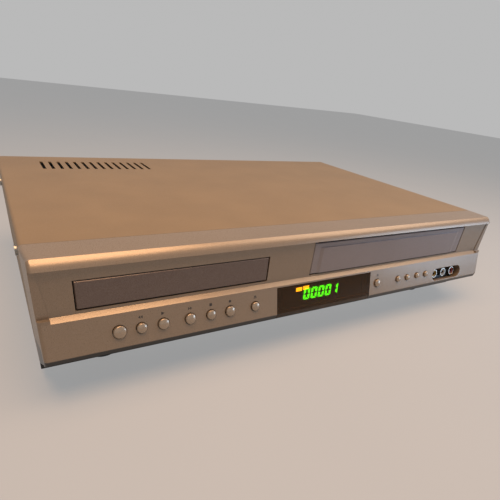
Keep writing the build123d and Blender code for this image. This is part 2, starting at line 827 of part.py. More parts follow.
with BuildPart() as loader_frame:
    for side in (-1, 1):
        block(
            tuple(sorted((drive_x + side * drive_inner, drive_x + side * drive_half))),
            (back(drive_front), back(drive_back)),
            (drive_floor_z - 6, drive_top_z),
        )
        rail_x = tuple(sorted((drive_x + side * drive_inner, drive_x + side * (tray_half + 0.5))))
        for z_range in (
            (flange_low_z - running_gap - 2.2, flange_low_z - running_gap),
            (flange_high_z + running_gap, flange_high_z + running_gap + 1.8),
        ):
            block(rail_x, (back(drive_front), back(drive_back)), z_range)
        for depth in (drive_front + 8, drive_back - 8):
            post(drive_x + side * (drive_half - 5), back(depth), (pan_top_z, drive_floor_z + 1), 4)
    block(
        (drive_x - drive_half, drive_x + drive_half),
        (back(drive_front), back(drive_back)),
        (drive_floor_z, drive_floor_z + drive_floor_thick),
    )
    block(
        (drive_x - drive_half, drive_x + drive_half),
        (back(drive_back), back(drive_back + drive_wall)),
        (drive_floor_z - 6, drive_top_z),
    )
    # the pickup unit swings in this opening
    block(
        (drive_x - traverse_half - 2, drive_x + traverse_half + 2),
        (back(60), back(188)),
        (drive_floor_z - 1, drive_floor_z + drive_floor_thick + 1),
        mode=Mode.SUBTRACT,
    )
    # ears for the pickup unit's pivot pins
    for side in (-1, 1):
        block(
            tuple(sorted((drive_x + side * (traverse_half + 2), drive_x + side * (traverse_half + 5)))),
            (back(traverse_pivot_depth - 5), back(traverse_pivot_depth + 5)),
            (drive_floor_z + 1, traverse_low_z + 5),
        )
    with Locations(
        Location((drive_x, back(traverse_pivot_depth), traverse_low_z + traverse_thick / 2), (0, 90, 0))
    ):
        Cylinder(axle_radius + shaft_gap, 2 * traverse_half + 12, mode=Mode.SUBTRACT)
    # axle of the drive wheel, seat of the motor
    post(pinion_x, back(pinion_depth), (drive_floor_z + 1, 65.0), axle_radius)
    post(
        pinion_x + motor_x_offset, back(pinion_depth + 2),
        (drive_floor_z - 1, drive_floor_z + drive_floor_thick + 1), 3.0, mode=Mode.SUBTRACT,
    )
keep(loader_frame, "loader_frame")

with BuildPart() as disc_tray:
    with BuildSketch(Plane.XY.offset(tray_low_z)):
        with Locations((drive_x, back((tray_front_depth + tray_main_back) / 2))):
            Rectangle(2 * tray_half, tray_main_back - tray_front_depth)
        for side in (-1, 1):
            with Locations((drive_x + side * (tray_half - 4), back((tray_main_back + tray_back) / 2 - 5))):
                Rectangle(8, tray_back - tray_main_back + 10)
    extrude(amount=tray_high_z - tray_low_z)
    with BuildSketch(Plane.XY.offset(tray_low_z - 1)):
        with Locations((drive_x, disc_y)):
            Circle(disc_radius - 2.5)
    extrude(amount=tray_high_z - disc_recess - 2.0 - tray_low_z + 1, mode=Mode.SUBTRACT)
    with Locations((drive_x, disc_y, tray_high_z)):
        Cylinder(disc_radius, 2 * disc_recess, mode=Mode.SUBTRACT)
        Cylinder(small_disc_radius, 2 * (disc_recess + small_disc_recess), mode=Mode.SUBTRACT)
    # slot for the turntable and the pickup, open at the back
    with BuildSketch(Plane.XY.offset(tray_low_z - 1)):
        with Locations((drive_x, disc_y)):
            Circle(tray_slot_half)
        with Locations((drive_x, (disc_y + back(tray_main_back + 5)) / 2)):
            Rectangle(2 * tray_slot_half, back(tray_main_back + 5) - disc_y)
    extrude(amount=tray_high_z - tray_low_z + 2, mode=Mode.SUBTRACT)
    # finger dips at the disc's edge
    for side in (-1, 1):
        with Locations((drive_x + side * 34, back(tray_front_depth + 16), tray_high_z)):
            Cylinder(11, 2 * (disc_recess + small_disc_recess), mode=Mode.SUBTRACT)
    # running flanges
    for side in (-1, 1):
        block(
            tuple(sorted((drive_x + side * (tray_half - 0.5), drive_x + side * (tray_half + tray_flange)))),
            (back(drive_front - 6), back(tray_back)),
            (flange_low_z, flange_high_z),
        )
    # rack under the left side
    with BuildSketch(Plane.XY.offset(rack_low_z)):
        rack_pitch = math.pi * gear_module
        rack_start = back(pinion_depth) - 1.5 * rack_pitch
        rack_root = rack_line_x - 1.25 * gear_module
        with Locations((rack_root - 1.2, rack_start + (rack_teeth - 1) / 2 * rack_pitch)):
            Rectangle(2.4, rack_teeth * rack_pitch)
        for number in range(rack_teeth):
            with Locations((0, rack_start + number * rack_pitch)):
                tooth(
                    rack_root, rack_line_x + 0.9 * gear_module,
                    rack_pitch / 2 - gear_backlash / 2, gear_module,
                )
    extrude(amount=tray_low_z - rack_low_z)
keep(disc_tray, "disc_tray")

with BuildPart() as tray_front:
    block(
        (tray_door_left, tray_door_right),
        (back(recess_depth), back(recess_depth + tray_door_thick)),
        (tray_door_low, tray_door_high),
    )
    chamfer(tray_front.faces().sort_by(Axis.Y)[0].edges(), 0.6)
keep(tray_front, "tray_front")

with BuildPart() as drive_wheel:
    with BuildSketch(Plane.XZ.offset(-back(pinion_depth))):
        with BuildLine():
            Polyline(
                (pinion_x + axle_radius + shaft_gap, pulley_low_z),
                (pinion_x + pulley_radius, pulley_low_z),
                (pinion_x + pulley_radius - 0.2, pulley_low_z + 0.8),
                (pinion_x + pulley_radius - 1.6, pulley_low_z + 1.2),
                (pinion_x + pulley_radius - 1.6, pulley_high_z - 1.2),
                (pinion_x + pulley_radius - 0.2, pulley_high_z - 0.8),
                (pinion_x + pulley_radius, pulley_high_z),
                (pinion_x + pinion_radius - 2, pulley_high_z),
                (pinion_x + pinion_radius - 2, tray_low_z - 0.6),
                (pinion_x + axle_radius + shaft_gap, tray_low_z - 0.6),
                close=True,
            )
        make_face()
    revolve(axis=Axis((pinion_x, back(pinion_depth), 0), (0, 0, 1)))
    with BuildSketch(Plane((pinion_x, back(pinion_depth), rack_low_z))):
        Circle(pinion_radius - 1.25 * gear_module)
        with PolarLocations(0, pinion_teeth):
            tooth(
                pinion_radius - 1.25 * gear_module, pinion_radius + 0.9 * gear_module,
                rack_pitch / 2 - gear_backlash / 2, gear_module,
            )
        Circle(axle_radius + shaft_gap, mode=Mode.SUBTRACT)
    extrude(amount=tray_low_z - 0.6 - rack_low_z)
keep(drive_wheel, "drive_wheel")

motor_x = pinion_x + motor_x_offset
motor_y = back(pinion_depth + 2)
motor_shaft = 1.0
with BuildPart() as motor_pulley:
    with BuildSketch(Plane.XZ.offset(-motor_y)):
        with BuildLine():
            Polyline(
                (motor_x, drive_floor_z - 6),
                (motor_x + motor_shaft, drive_floor_z - 6),
                (motor_x + motor_shaft, pulley_low_z),
                (motor_x + motor_pulley_radius, pulley_low_z),
                (motor_x + motor_pulley_radius, pulley_low_z + 0.8),
                (motor_x + motor_pulley_radius - 1.4, pulley_low_z + 1.2),
                (motor_x + motor_pulley_radius - 1.4, pulley_high_z - 1.2),
                (motor_x + motor_pulley_radius, pulley_high_z - 0.8),
                (motor_x + motor_pulley_radius, pulley_high_z),
                (motor_x, pulley_high_z),
                close=True,
            )
        make_face()
    revolve(axis=Axis((motor_x, motor_y, 0), (0, 0, 1)))
keep(motor_pulley, "motor_pulley")

with BuildPart() as loading_motor:
    post(motor_x, motor_y, (drive_floor_z - 14, drive_floor_z), loading_motor_radius)
    post(motor_x, motor_y, (drive_floor_z, drive_floor_z + drive_floor_thick), 2.9)
    post(motor_x, motor_y, (drive_floor_z - 8, drive_floor_z + 5), motor_shaft + shaft_gap, mode=Mode.SUBTRACT)
keep(loading_motor, "loading_motor")

with BuildPart() as loading_belt:
    belt_mid_z = (pulley_low_z + pulley_high_z) / 2
    big_seat = pulley_radius - 1.6 + running_gap
    small_seat = motor_pulley_radius - 1.4 + running_gap
    for thickness, belt_mode in ((1.3, Mode.ADD), (0.0, Mode.SUBTRACT)):
        with BuildSketch(Plane.XY.offset(belt_mid_z - 0.65)):
            with Locations((pinion_x, back(pinion_depth))):
                Circle(big_seat + thickness)
            with Locations((motor_x, motor_y)):
                Circle(small_seat + thickness)
            make_hull()
        extrude(amount=1.3, mode=belt_mode)
keep(loading_belt, "loading_belt")

with BuildPart() as clamp_bridge:
    block(
        (drive_x - drive_half, drive_x + drive_half),
        (disc_y - 22, disc_y + 22),
        (drive_top_z, drive_top_z + 1.5),
    )
    post(drive_x, disc_y, (drive_top_z - 1, drive_top_z + 3), puck_neck + 0.5, mode=Mode.SUBTRACT)
    for side in (-1, 1):
        block(
            tuple(sorted((drive_x + side * 26, drive_x + side * 58))),
            (disc_y - 10, disc_y + 10),
            (drive_top_z - 1, drive_top_z + 3),
            mode=Mode.SUBTRACT,
        )
keep(clamp_bridge, "clamp_bridge")

puck_low_z = tray_high_z + 0.6
with BuildPart() as clamp_puck:
    with BuildSketch(Plane.XZ.offset(-disc_y)):
        with BuildLine():
            Polyline(
                (drive_x, puck_low_z + 1.5),
                (drive_x + 8.5, puck_low_z + 1.5),
                (drive_x + 8.5, puck_low_z),
                (drive_x + puck_radius, puck_low_z),
                (drive_x + puck_radius, puck_low_z + 2.4),
                (drive_x + puck_neck, puck_low_z + 2.4),
                (drive_x + puck_neck, drive_top_z + 1.5 + running_gap),
                (drive_x + puck_radius, drive_top_z + 1.5 + running_gap),
                (drive_x + puck_radius - 1, drive_top_z + 3.5),
                (drive_x, drive_top_z + 3.5),
                close=True,
            )
        make_face()
    revolve(axis=Axis((drive_x, disc_y, 0), (0, 0, 1)))
    with Locations((drive_x, disc_y, drive_top_z + 3.5)):
        with PolarLocations(7.5, 3):
            Cylinder(1.6, 2, mode=Mode.SUBTRACT)
keep(clamp_puck, "clamp_puck")

with BuildPart() as traverse_plate:
    block(
        (drive_x - traverse_half, drive_x + traverse_half),
        (back(64), back(traverse_pivot_depth + 3)),
        (traverse_low_z, traverse_low_z + traverse_thick),
    )
    # window for the pickup, hole for the spindle
    block(
        (drive_x - 27.5, drive_x + 27.5),
        (back(pickup_front - 1), back(pickup_front + pickup_length + pickup_travel + 2)),
        (traverse_low_z - 1, traverse_low_z + 3),
        mode=Mode.SUBTRACT,
    )
    post(drive_x, disc_y, (traverse_low_z - 1, traverse_low_z + 3), 4.0, mode=Mode.SUBTRACT)
    with Locations(
        Location((drive_x, back(traverse_pivot_depth), traverse_low_z + traverse_thick / 2), (0, 90, 0))
    ):
        Cylinder(axle_radius, 2 * traverse_half + 8)
    for side in (-1, 1):
        for depth in (pickup_front - 5.5, pickup_front + pickup_length + pickup_travel + 1.5):
            block(
                (drive_x + side * rail_offset - 3, drive_x + side * rail_offset + 3),
                (back(depth), back(depth + 4)),
                (rail_z - 3, traverse_low_z),
            )
        with Locations(Location((drive_x + side * rail_offset, back(130), rail_z), (90, 0, 0))):
            Cylinder(rail_radius + shaft_gap, 90, mode=Mode.SUBTRACT)
keep(traverse_plate, "traverse_plate")

with BuildPart() as pickup_rails:
    rail_length = pickup_length + pickup_travel + 11
    for side in (-1, 1):
        with Locations(
            Location(
                (drive_x + side * rail_offset, back(pickup_front - 5.5 + rail_length / 2), rail_z),
                (90, 0, 0),
            )
        ):
            Cylinder(rail_radius, rail_length)
keep(pickup_rails, "pickup_rails")

with BuildPart() as spindle_motor:
    post(drive_x, disc_y, (traverse_low_z - 7, traverse_low_z), 12)
    post(drive_x, disc_y, (traverse_low_z, traverse_low_z + traverse_thick), 3.9)
    post(drive_x, disc_y, (traverse_low_z - 5, traverse_low_z + 5), 1.0 + shaft_gap, mode=Mode.SUBTRACT)
keep(spindle_motor, "spindle_motor")

with BuildPart() as turntable:
    hub_low_z = traverse_low_z + traverse_thick + 0.5
    table_z = tray_high_z - disc_recess + 1.5
    with BuildSketch(Plane.XZ.offset(-disc_y)):
        with BuildLine():
            Polyline(
                (drive_x, traverse_low_z - 4),
                (drive_x + 1.0, traverse_low_z - 4),
                (drive_x + 1.0, hub_low_z),
                (drive_x + 13, hub_low_z),
                (drive_x + 13, hub_low_z + 6),
                (drive_x + 7, hub_low_z + 7),
                (drive_x + 7, table_z - 3),
                (drive_x + turntable_radius, table_z - 2.4),
                (drive_x + turntable_radius, table_z),
                (drive_x + boss_radius, table_z),
                (drive_x + boss_radius, table_z + 0.8),
                (drive_x + boss_radius - 1.4, tray_high_z + 0.3),
                (drive_x, tray_high_z + 0.3),
                close=True,
            )
        make_face()
    revolve(axis=Axis((drive_x, disc_y, 0), (0, 0, 1)))
keep(turntable, "turntable")

with BuildPart() as optical_pickup:
    pickup_y = (back(pickup_front), back(pickup_front + pickup_length))
    block((drive_x - 26, drive_x + 26), pickup_y, (rail_z - 4, traverse_low_z + 3.5))
    for side in (-1, 1):
        block(
            tuple(sorted((drive_x + side * 25, drive_x + side * (rail_offset + 3)))),
            (pickup_y[0] + 1, pickup_y[1] - 1),
            (rail_z - 3, traverse_low_z - 0.4),
        )
    with Locations(Location((drive_x - rail_offset, back(110), rail_z), (90, 0, 0))):
        Cylinder(rail_radius + shaft_gap, 60, mode=Mode.SUBTRACT)
    block(
        (drive_x + rail_offset - rail_radius - 0.1, drive_x + rail_offset + 5),
        (pickup_y[0] - 1, pickup_y[1] + 1),
        (rail_z - rail_radius - 0.1, rail_z + rail_radius + 0.1),
        mode=Mode.SUBTRACT,
    )
    # sprung lens and its shroud
    post(drive_x, (pickup_y[0] + pickup_y[1]) / 2, (traverse_low_z + 3.5, traverse_low_z + 5), 7)
    post(drive_x, (pickup_y[0] + pickup_y[1]) / 2, (traverse_low_z + 5, traverse_low_z + 6.2), 3)
keep(optical_pickup, "optical_pickup")

# ================================================================ cassette door
door_pin = 1.2
with BuildPart() as cassette_door:
    block(
        (cassette_door_left, cassette_door_right),
        (back(recess_depth), back(recess_depth + cassette_door_thick)),
        (cassette_door_low, cassette_door_high),
    )
    chamfer(cassette_door.faces().sort_by(Axis.Y)[0].edges(), 0.5)
    # the middle stands a little proud, with wide shallow bevels at both ends
    with BuildSketch(Plane.XY.offset(cassette_door_low + 0.5)):
        with BuildLine():
            Polyline(
                (cassette_door_left + 6.0, back(recess_depth)),
                (cassette_door_left + 9.0, back(recess_depth - door_field)),
                (cassette_door_right - 11.3, back(recess_depth - door_field)),
                (cassette_door_right - 8.3, back(recess_depth)),
                (cassette_door_right - 8.3, back(recess_depth + 0.6)),
                (cassette_door_left + 6.0, back(recess_depth + 0.6)),
                close=True,
            )
        make_face()
    extrude(amount=cassette_door_high - cassette_door_low - 4.5)
    for x in (cassette_door_left + 1.5, cassette_door_right - 1.5):
        block(
            (x - 1.5, x + 1.5),
            (back(recess_depth + cassette_door_thick - 0.2), back(cassette_pivot_depth + 1.8)),
            (cassette_door_high - 6, cassette_pivot_z),
        )
        with Locations(Location((x, back(cassette_pivot_depth), cassette_pivot_z), (0, 90, 0))):
            Cylinder(1.8, 3.0)
    with BuildSketch(Plane.YZ.offset(cassette_door_left - door_gap - 2.0)):
        with Locations((back(cassette_pivot_depth), cassette_pivot_z)):
            Circle(door_pin)
    extrude(amount=door_gap + 3.0)
    with BuildSketch(Plane.YZ.offset(cassette_door_right + door_gap + 2.0)):
        with Locations((back(cassette_pivot_depth), cassette_pivot_z)):
            Circle(door_pin)
    extrude(amount=-(door_gap + 3.0))
keep(cassette_door, "cassette_door")

# ================================================================ cassette carriage
holder_inner = cassette_width / 2 + holder_clear
holder_outer = holder_inner + holder_sheet
slider_inner = holder_outer + slider_gap
slider_outer = slider_inner + slider_sheet
bracket_inner = slider_outer + bracket_gap
bracket_outer = bracket_inner + bracket_sheet
holder_back = holder_front + holder_length
pin_z = holder_low_z + 16
pin_depths = (holder_front + 10, holder_back - 10)
lug_z = holder_high_z - 6
lug_depths = (holder_front + 20, holder_back - 20)
bracket_front = holder_front - 1
bracket_back = holder_back + holder_travel_back + 6

with BuildPart() as cassette_holder:
    block(
        (deck_x - holder_outer, deck_x + holder_outer),
        (back(holder_front), back(holder_back)),
        (holder_low_z, holder_high_z),
    )
    block(
        (deck_x - holder_inner, deck_x + holder_inner),
        (back(holder_front - 1), back(holder_back + 1)),
        (holder_low_z + holder_sheet, holder_high_z - holder_sheet),
        mode=Mode.SUBTRACT,
    )
    block(
        (deck_x - holder_inner + holder_ledge, deck_x + holder_inner - holder_ledge),
        (back(holder_front - 1), back(holder_back + 1)),
        (holder_low_z - 1, holder_low_z + holder_sheet + 1),
        mode=Mode.SUBTRACT,
    )
    # lightening holes in the top plate
    with Locations((deck_x, back((holder_front + holder_back) / 2), holder_high_z)):
        with GridLocations(44, 0, 4, 1):
            Box(28, 34, 6, mode=Mode.SUBTRACT)
    for side in (-1, 1):
        for depth in pin_depths:
            with Locations(
                Location(
                    (deck_x + side * (holder_outer + (slider_gap + slider_sheet) / 2), back(depth), pin_z),
                    (0, 90, 0),
                )
            ):
                Cylinder(guide_pin, slider_gap + slider_sheet)
keep(cassette_holder, "cassette_holder")

with BuildPart() as carriage_slider:
    for side in (-1, 1):
        x_range = tuple(sorted((deck_x + side * slider_inner, deck_x + side * slider_outer)))
        block(x_range, (back(holder_front), back(holder_back + 6)), (deck_top_z + 2, holder_high_z))
        for depth in pin_depths:
            with BuildSketch(Plane.YZ.offset(x_range[0] - 1)):
                with Locations((back(depth), pin_z - holder_travel_down / 2)):
                    SlotOverall(
                        holder_travel_down + 2 * guide_pin + 0.8, 2 * guide_pin + 0.6, rotation=90
                    )
            extrude(amount=slider_sheet + 2, mode=Mode.SUBTRACT)
        for depth in lug_depths:
            with Locations(
                Location(
                    (deck_x + side * (slider_outer + bracket_gap / 2 + 0.9), back(depth), lug_z),
                    (0, 90, 0),
                )
            ):
                Cylinder(guide_pin, bracket_gap + 1.8)
    block(
        (deck_x - slider_outer, deck_x + slider_outer),
        (back(holder_back + 1), back(holder_back + 6)),
        (holder_high_z - 2, holder_high_z + 1),
    )
keep(carriage_slider, "carriage_slider")

with BuildPart() as carriage_brackets:
    for side in (-1, 1):
        x_range = tuple(sorted((deck_x + side * bracket_inner, deck_x + side * bracket_outer)))
        block(x_range, (back(bracket_front + 8), back(bracket_back)), (deck_top_z, holder_high_z + 1))
        with BuildSketch(Plane.YZ.offset(x_range[0] - 1)):
            slot_start = lug_depths[0] - guide_pin - 0.4
            slot_end = lug_depths[1] + holder_travel_back + guide_pin + 0.4
            with Locations((back((slot_start + slot_end) / 2), lug_z)):
                SlotOverall(slot_end - slot_start, 2 * guide_pin + 0.6)
            with Locations((back((slot_start + slot_end) / 2), (deck_top_z + lug_z) / 2)):
                RectangleRounded(70, 22, 4)
        extrude(amount=bracket_sheet + 2, mode=Mode.SUBTRACT)
        foot_range = tuple(sorted((deck_x + side * bracket_inner, deck_x + side * (bracket_outer + 5))))
        block(foot_range, (back(bracket_front + 8), back(bracket_back)), (deck_top_z, deck_top_z + 1.5))
keep(carriage_brackets, "carriage_brackets")

# ================================================================ deck plate and tape transport
drum_y = back(drum_depth)
drum_plane = Plane(
    origin=(deck_x, drum_y, deck_top_z),
    x_dir=(1, 0, 0),
    z_dir=(0, -math.sin(math.radians(drum_tilt)), math.cos(math.radians(drum_tilt))),
)
capstan_at = (deck_x + capstan_x, back(capstan_depth))
pivot_at = (deck_x + pinch_pivot_x, back(pinch_pivot_depth))
rest_angle = math.radians(pinch_rest_angle)
roller_at = (
    pivot_at[0] + pinch_arm_length * math.cos(rest_angle),
    pivot_at[1] + pinch_arm_length * math.sin(rest_angle),
)
bush_radius = 5.0
bush_rise = 2.2              # capstan bush above the deck plate, under the pinch arm
arm_rise = 2.8               # underside of the pinch arm above the deck plate
arm_sheet = 2.0
reel_pin = 1.5
guide_run = math.hypot(guide_run_x, guide_run_depth)
motor_posts = 3

with BuildPart() as deck_plate:
    block(
        (deck_x - deck_side, deck_x + deck_side),
        (back(deck_front), back(deck_back)),
        (deck_z, deck_top_z),
    )
    post(deck_x, drum_y, (deck_z - 1, deck_top_z + 1), 21.5, mode=Mode.SUBTRACT)
    for side in (-1, 1):
        with BuildSketch(Plane.XY.offset(deck_z - 1)):
            start = (deck_x + side * guide_rest_x, back(guide_rest_depth))
            angle = math.degrees(math.atan2(guide_run_depth, side * guide_run_x))
            middle = (
                start[0] + side * guide_run_x / 2,
                start[1] + guide_run_depth / 2,
            )
            with Locations(middle):
                SlotOverall(guide_run + 5.6, 5.0, rotation=angle)
        extrude(amount=deck_thick + 2, mode=Mode.SUBTRACT)
        for depth in (deck_front + 7, deck_back - 7):
            post(deck_x + side * (deck_side - 5), back(depth), (pan_top_z, deck_z), 4)
        post(deck_x + side * reel_offset, back(reel_depth), (deck_top_z, deck_top_z + 16), reel_pin)
        # stiffening flanges along the sides
        edge = deck_x + side * deck_side
        block(
            tuple(sorted((edge, edge - side * deck_thick))),
            (back(deck_front + 14), back(deck_back - 14)),
            (deck_z - 6, deck_z),
        )
    post(capstan_at[0], capstan_at[1], (deck_z, deck_top_z + bush_rise), bush_radius)
    post(
        capstan_at[0], capstan_at[1], (deck_z - 1, deck_top_z + bush_rise + 1),
        capstan_radius + shaft_gap, mode=Mode.SUBTRACT,
    )
    post(pivot_at[0], pivot_at[1], (deck_top_z, deck_top_z + 14), 2.0)
keep(deck_plate, "deck_plate")

for name, side in (("supply_reel", -1), ("takeup_reel", 1)):
    with BuildPart() as reel:
        reel_x = deck_x + side * reel_offset
        with BuildSketch(Plane.XZ.offset(-back(reel_depth))):
            with BuildLine():
                Polyline(
                    (reel_x + reel_pin + shaft_gap, deck_top_z + 0.4),
                    (reel_x + reel_radius, deck_top_z + 0.4),
                    (reel_x + reel_radius, deck_top_z + 3.4),
                    (reel_x + reel_radius - 6, deck_top_z + 4.4),
                    (reel_x + 11, deck_top_z + 4.4),
                    (reel_x + 11, deck_top_z + 7.0),
                    (reel_x + 4.5, deck_top_z + 7.0),
                    (reel_x + 4.5, deck_top_z + 18.0),
                    (reel_x + 2.2, deck_top_z + 21.0),
                    (reel_x + reel_pin + shaft_gap, deck_top_z + 21.0),
                    close=True,
                )
            make_face()
        revolve(axis=Axis((reel_x, back(reel_depth), 0), (0, 0, 1)))
        with Locations((reel_x, back(reel_depth), deck_top_z + 12)):
            with PolarLocations(5.0, 3):
                Box(3.0, 1.6, 10.0)
    keep(reel, name)

drum_shaft = 3.0
with BuildPart() as lower_drum:
    with BuildSketch(drum_plane.offset(4)):
        Circle(drum_radius)
    extrude(amount=13)
    with BuildSketch(Plane.XY.offset(deck_top_z)):
        with Locations((deck_x, drum_y)):
            Circle(26)
    extrude(amount=5)
    post(deck_x, drum_y, (deck_z - 10, deck_top_z + 1), 20)
    # ruled edge that carries the tape
    with BuildSketch(drum_plane.offset(16)):
        Circle(drum_radius + 1)
        Circle(drum_radius - 0.4, mode=Mode.SUBTRACT)
    extrude(amount=2, mode=Mode.SUBTRACT)
    with BuildSketch(drum_plane.offset(8)):
        Circle(drum_shaft + shaft_gap)
    extrude(amount=12, mode=Mode.SUBTRACT)
keep(lower_drum, "lower_drum")

with BuildPart() as upper_drum:
    with BuildSketch(drum_plane.offset(17.4)):
        Circle(drum_radius)
    extrude(amount=15)
    with BuildSketch(drum_plane.offset(32.4)):
        Circle(12)
    extrude(amount=2.5)
    with BuildSketch(drum_plane.offset(10)):
        Circle(drum_shaft)
    extrude(amount=8)
    # windows for the video heads
    with Locations(drum_plane.offset(18)):
        with PolarLocations(drum_radius, 4):
            Box(3, 5, 3, mode=Mode.SUBTRACT)
    # hollow top with its rim
    with BuildSketch(drum_plane.offset(29)):
        Circle(drum_radius - 3)
        Circle(12, mode=Mode.SUBTRACT)
    extrude(amount=6, mode=Mode.SUBTRACT)
keep(upper_drum, "upper_drum")

with BuildPart() as capstan:
    with BuildSketch(Plane.XZ.offset(-capstan_at[1])):
        with BuildLine():
            Polyline(
                (capstan_at[0], deck_z - 8.5),
                (capstan_at[0] + flywheel_radius, deck_z - 8.5),
                (capstan_at[0] + flywheel_radius, deck_z - 2.5),
                (capstan_at[0] + flywheel_radius - 5, deck_z - 2.5),
                (capstan_at[0] + flywheel_radius - 6, deck_z - 4.0),
                (capstan_at[0] + 8, deck_z - 4.0),
                (capstan_at[0] + 7, deck_z - 1.5),
                (capstan_at[0] + capstan_radius, deck_z - 1.5),
                (capstan_at[0] + capstan_radius, deck_top_z + 30),
                (capstan_at[0], deck_top_z + 30),
                close=True,
            )
        make_face()
    revolve(axis=Axis((capstan_at[0], capstan_at[1], 0), (0, 0, 1)))
keep(capstan, "capstan")

with BuildPart() as capstan_motor:
    post(capstan_at[0], capstan_at[1], (deck_z - 12.5, deck_z - 10.5), flywheel_radius + 3)
    post(capstan_at[0], capstan_at[1], (deck_z - 10.5, deck_z - 9.0), flywheel_radius - 6)
    with Locations((capstan_at[0], capstan_at[1], deck_z - 6.25)):
        with PolarLocations(flywheel_radius + 4, motor_posts):
            Cylinder(2.5, 12.5)
keep(capstan_motor, "capstan_motor")

with BuildPart() as pinch_arm:
    with BuildSketch(Plane.XY.offset(deck_top_z + arm_rise)):
        with Locations(pivot_at):
            Circle(5)
        with Locations(roller_at):
            Circle(4)
        make_hull()
    extrude(amount=arm_sheet)
    post(pivot_at[0], pivot_at[1], (deck_top_z + 0.4, deck_top_z + 12), 4)
    post(
        pivot_at[0], pivot_at[1], (deck_top_z, deck_top_z + 20), 2.0 + shaft_gap, mode=Mode.SUBTRACT
    )
    post(roller_at[0], roller_at[1], (deck_top_z + arm_rise + 1, deck_top_z + 23), 1.5)
keep(pinch_arm, "pinch_arm")

with BuildPart() as pinch_roller:
    post(roller_at[0], roller_at[1], (deck_top_z + 6.4, deck_top_z + 21), pinch_radius)
    post(
        roller_at[0], roller_at[1], (deck_top_z + 6, deck_top_z + 22), 1.5 + shaft_gap,
        mode=Mode.SUBTRACT,
    )
keep(pinch_roller, "pinch_roller")

for name, side in (("left_guide", -1), ("right_guide", 1)):
    with BuildPart() as guide:
        gx = deck_x + side * guide_rest_x
        gy = back(guide_rest_depth)
        with BuildSketch(Plane.XY.offset(deck_top_z + 0.4)):
            with Locations((gx, gy)):
                RectangleRounded(11, 9, 2)
        extrude(amount=3.6)
        post(gx, gy, (deck_z - 1.2, deck_top_z + 0.4), 2.0)
        post(gx, gy, (deck_z - 2.2, deck_z - 0.6), 4.0)
        post(gx, gy, (deck_top_z + 4, deck_top_z + 24), 1.6)
        post(gx, gy, (deck_top_z + 5.5, deck_top_z + 22), 3.2)
        post(gx, gy, (deck_top_z + 22, deck_top_z + 23.2), 4.2)
    keep(guide, name)

with BuildPart() as erase_head:
    post(deck_x - 72, back(176), (deck_top_z, deck_top_z + 4), 6)
    block((deck_x - 78, deck_x - 66), (back(170), back(182)), (deck_top_z + 4, deck_top_z + 20))
    fillet(erase_head.edges().filter_by(Axis.Z).group_by(Axis.Y)[0], 2.5)
keep(erase_head, "erase_head")

with BuildPart() as control_head:
    post(deck_x + 62, back(192), (deck_top_z, deck_top_z + 3), 7)
    block((deck_x + 55, deck_x + 69), (back(186), back(198)), (deck_top_z + 3, deck_top_z + 19))
    fillet(control_head.edges().filter_by(Axis.Z).group_by(Axis.Y)[0], 2.5)
keep(control_head, "control_head")
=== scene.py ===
"""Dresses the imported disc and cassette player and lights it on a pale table.

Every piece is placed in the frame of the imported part: metres, X to the right seen from the front, Y to
the back, Z up, with the origin under the middle of the cabinet.
"""

import json
import logging
import math
from dataclasses import dataclass, field
from enum import Enum

import bmesh
import bpy
from mathutils import Matrix, Vector

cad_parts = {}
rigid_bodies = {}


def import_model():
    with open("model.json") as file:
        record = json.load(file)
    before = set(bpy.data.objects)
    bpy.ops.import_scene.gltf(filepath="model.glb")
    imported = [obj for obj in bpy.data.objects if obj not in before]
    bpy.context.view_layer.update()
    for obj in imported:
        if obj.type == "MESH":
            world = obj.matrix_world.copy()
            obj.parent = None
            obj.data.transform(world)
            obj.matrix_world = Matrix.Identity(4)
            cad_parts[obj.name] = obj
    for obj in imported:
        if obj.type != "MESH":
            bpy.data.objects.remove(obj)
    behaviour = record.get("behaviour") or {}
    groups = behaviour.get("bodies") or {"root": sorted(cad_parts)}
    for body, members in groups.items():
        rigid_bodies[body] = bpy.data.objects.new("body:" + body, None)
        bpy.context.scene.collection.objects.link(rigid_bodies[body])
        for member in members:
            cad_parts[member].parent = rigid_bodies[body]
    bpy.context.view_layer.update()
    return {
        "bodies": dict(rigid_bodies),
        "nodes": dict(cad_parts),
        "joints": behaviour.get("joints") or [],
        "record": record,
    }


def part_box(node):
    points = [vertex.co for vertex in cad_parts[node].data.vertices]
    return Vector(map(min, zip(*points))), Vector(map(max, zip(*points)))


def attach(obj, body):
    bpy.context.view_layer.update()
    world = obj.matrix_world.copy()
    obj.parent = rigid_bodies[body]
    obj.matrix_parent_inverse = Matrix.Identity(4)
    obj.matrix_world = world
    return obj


LOG = logging.getLogger("player")
MM = 0.001
Colour = tuple[float, float, float]


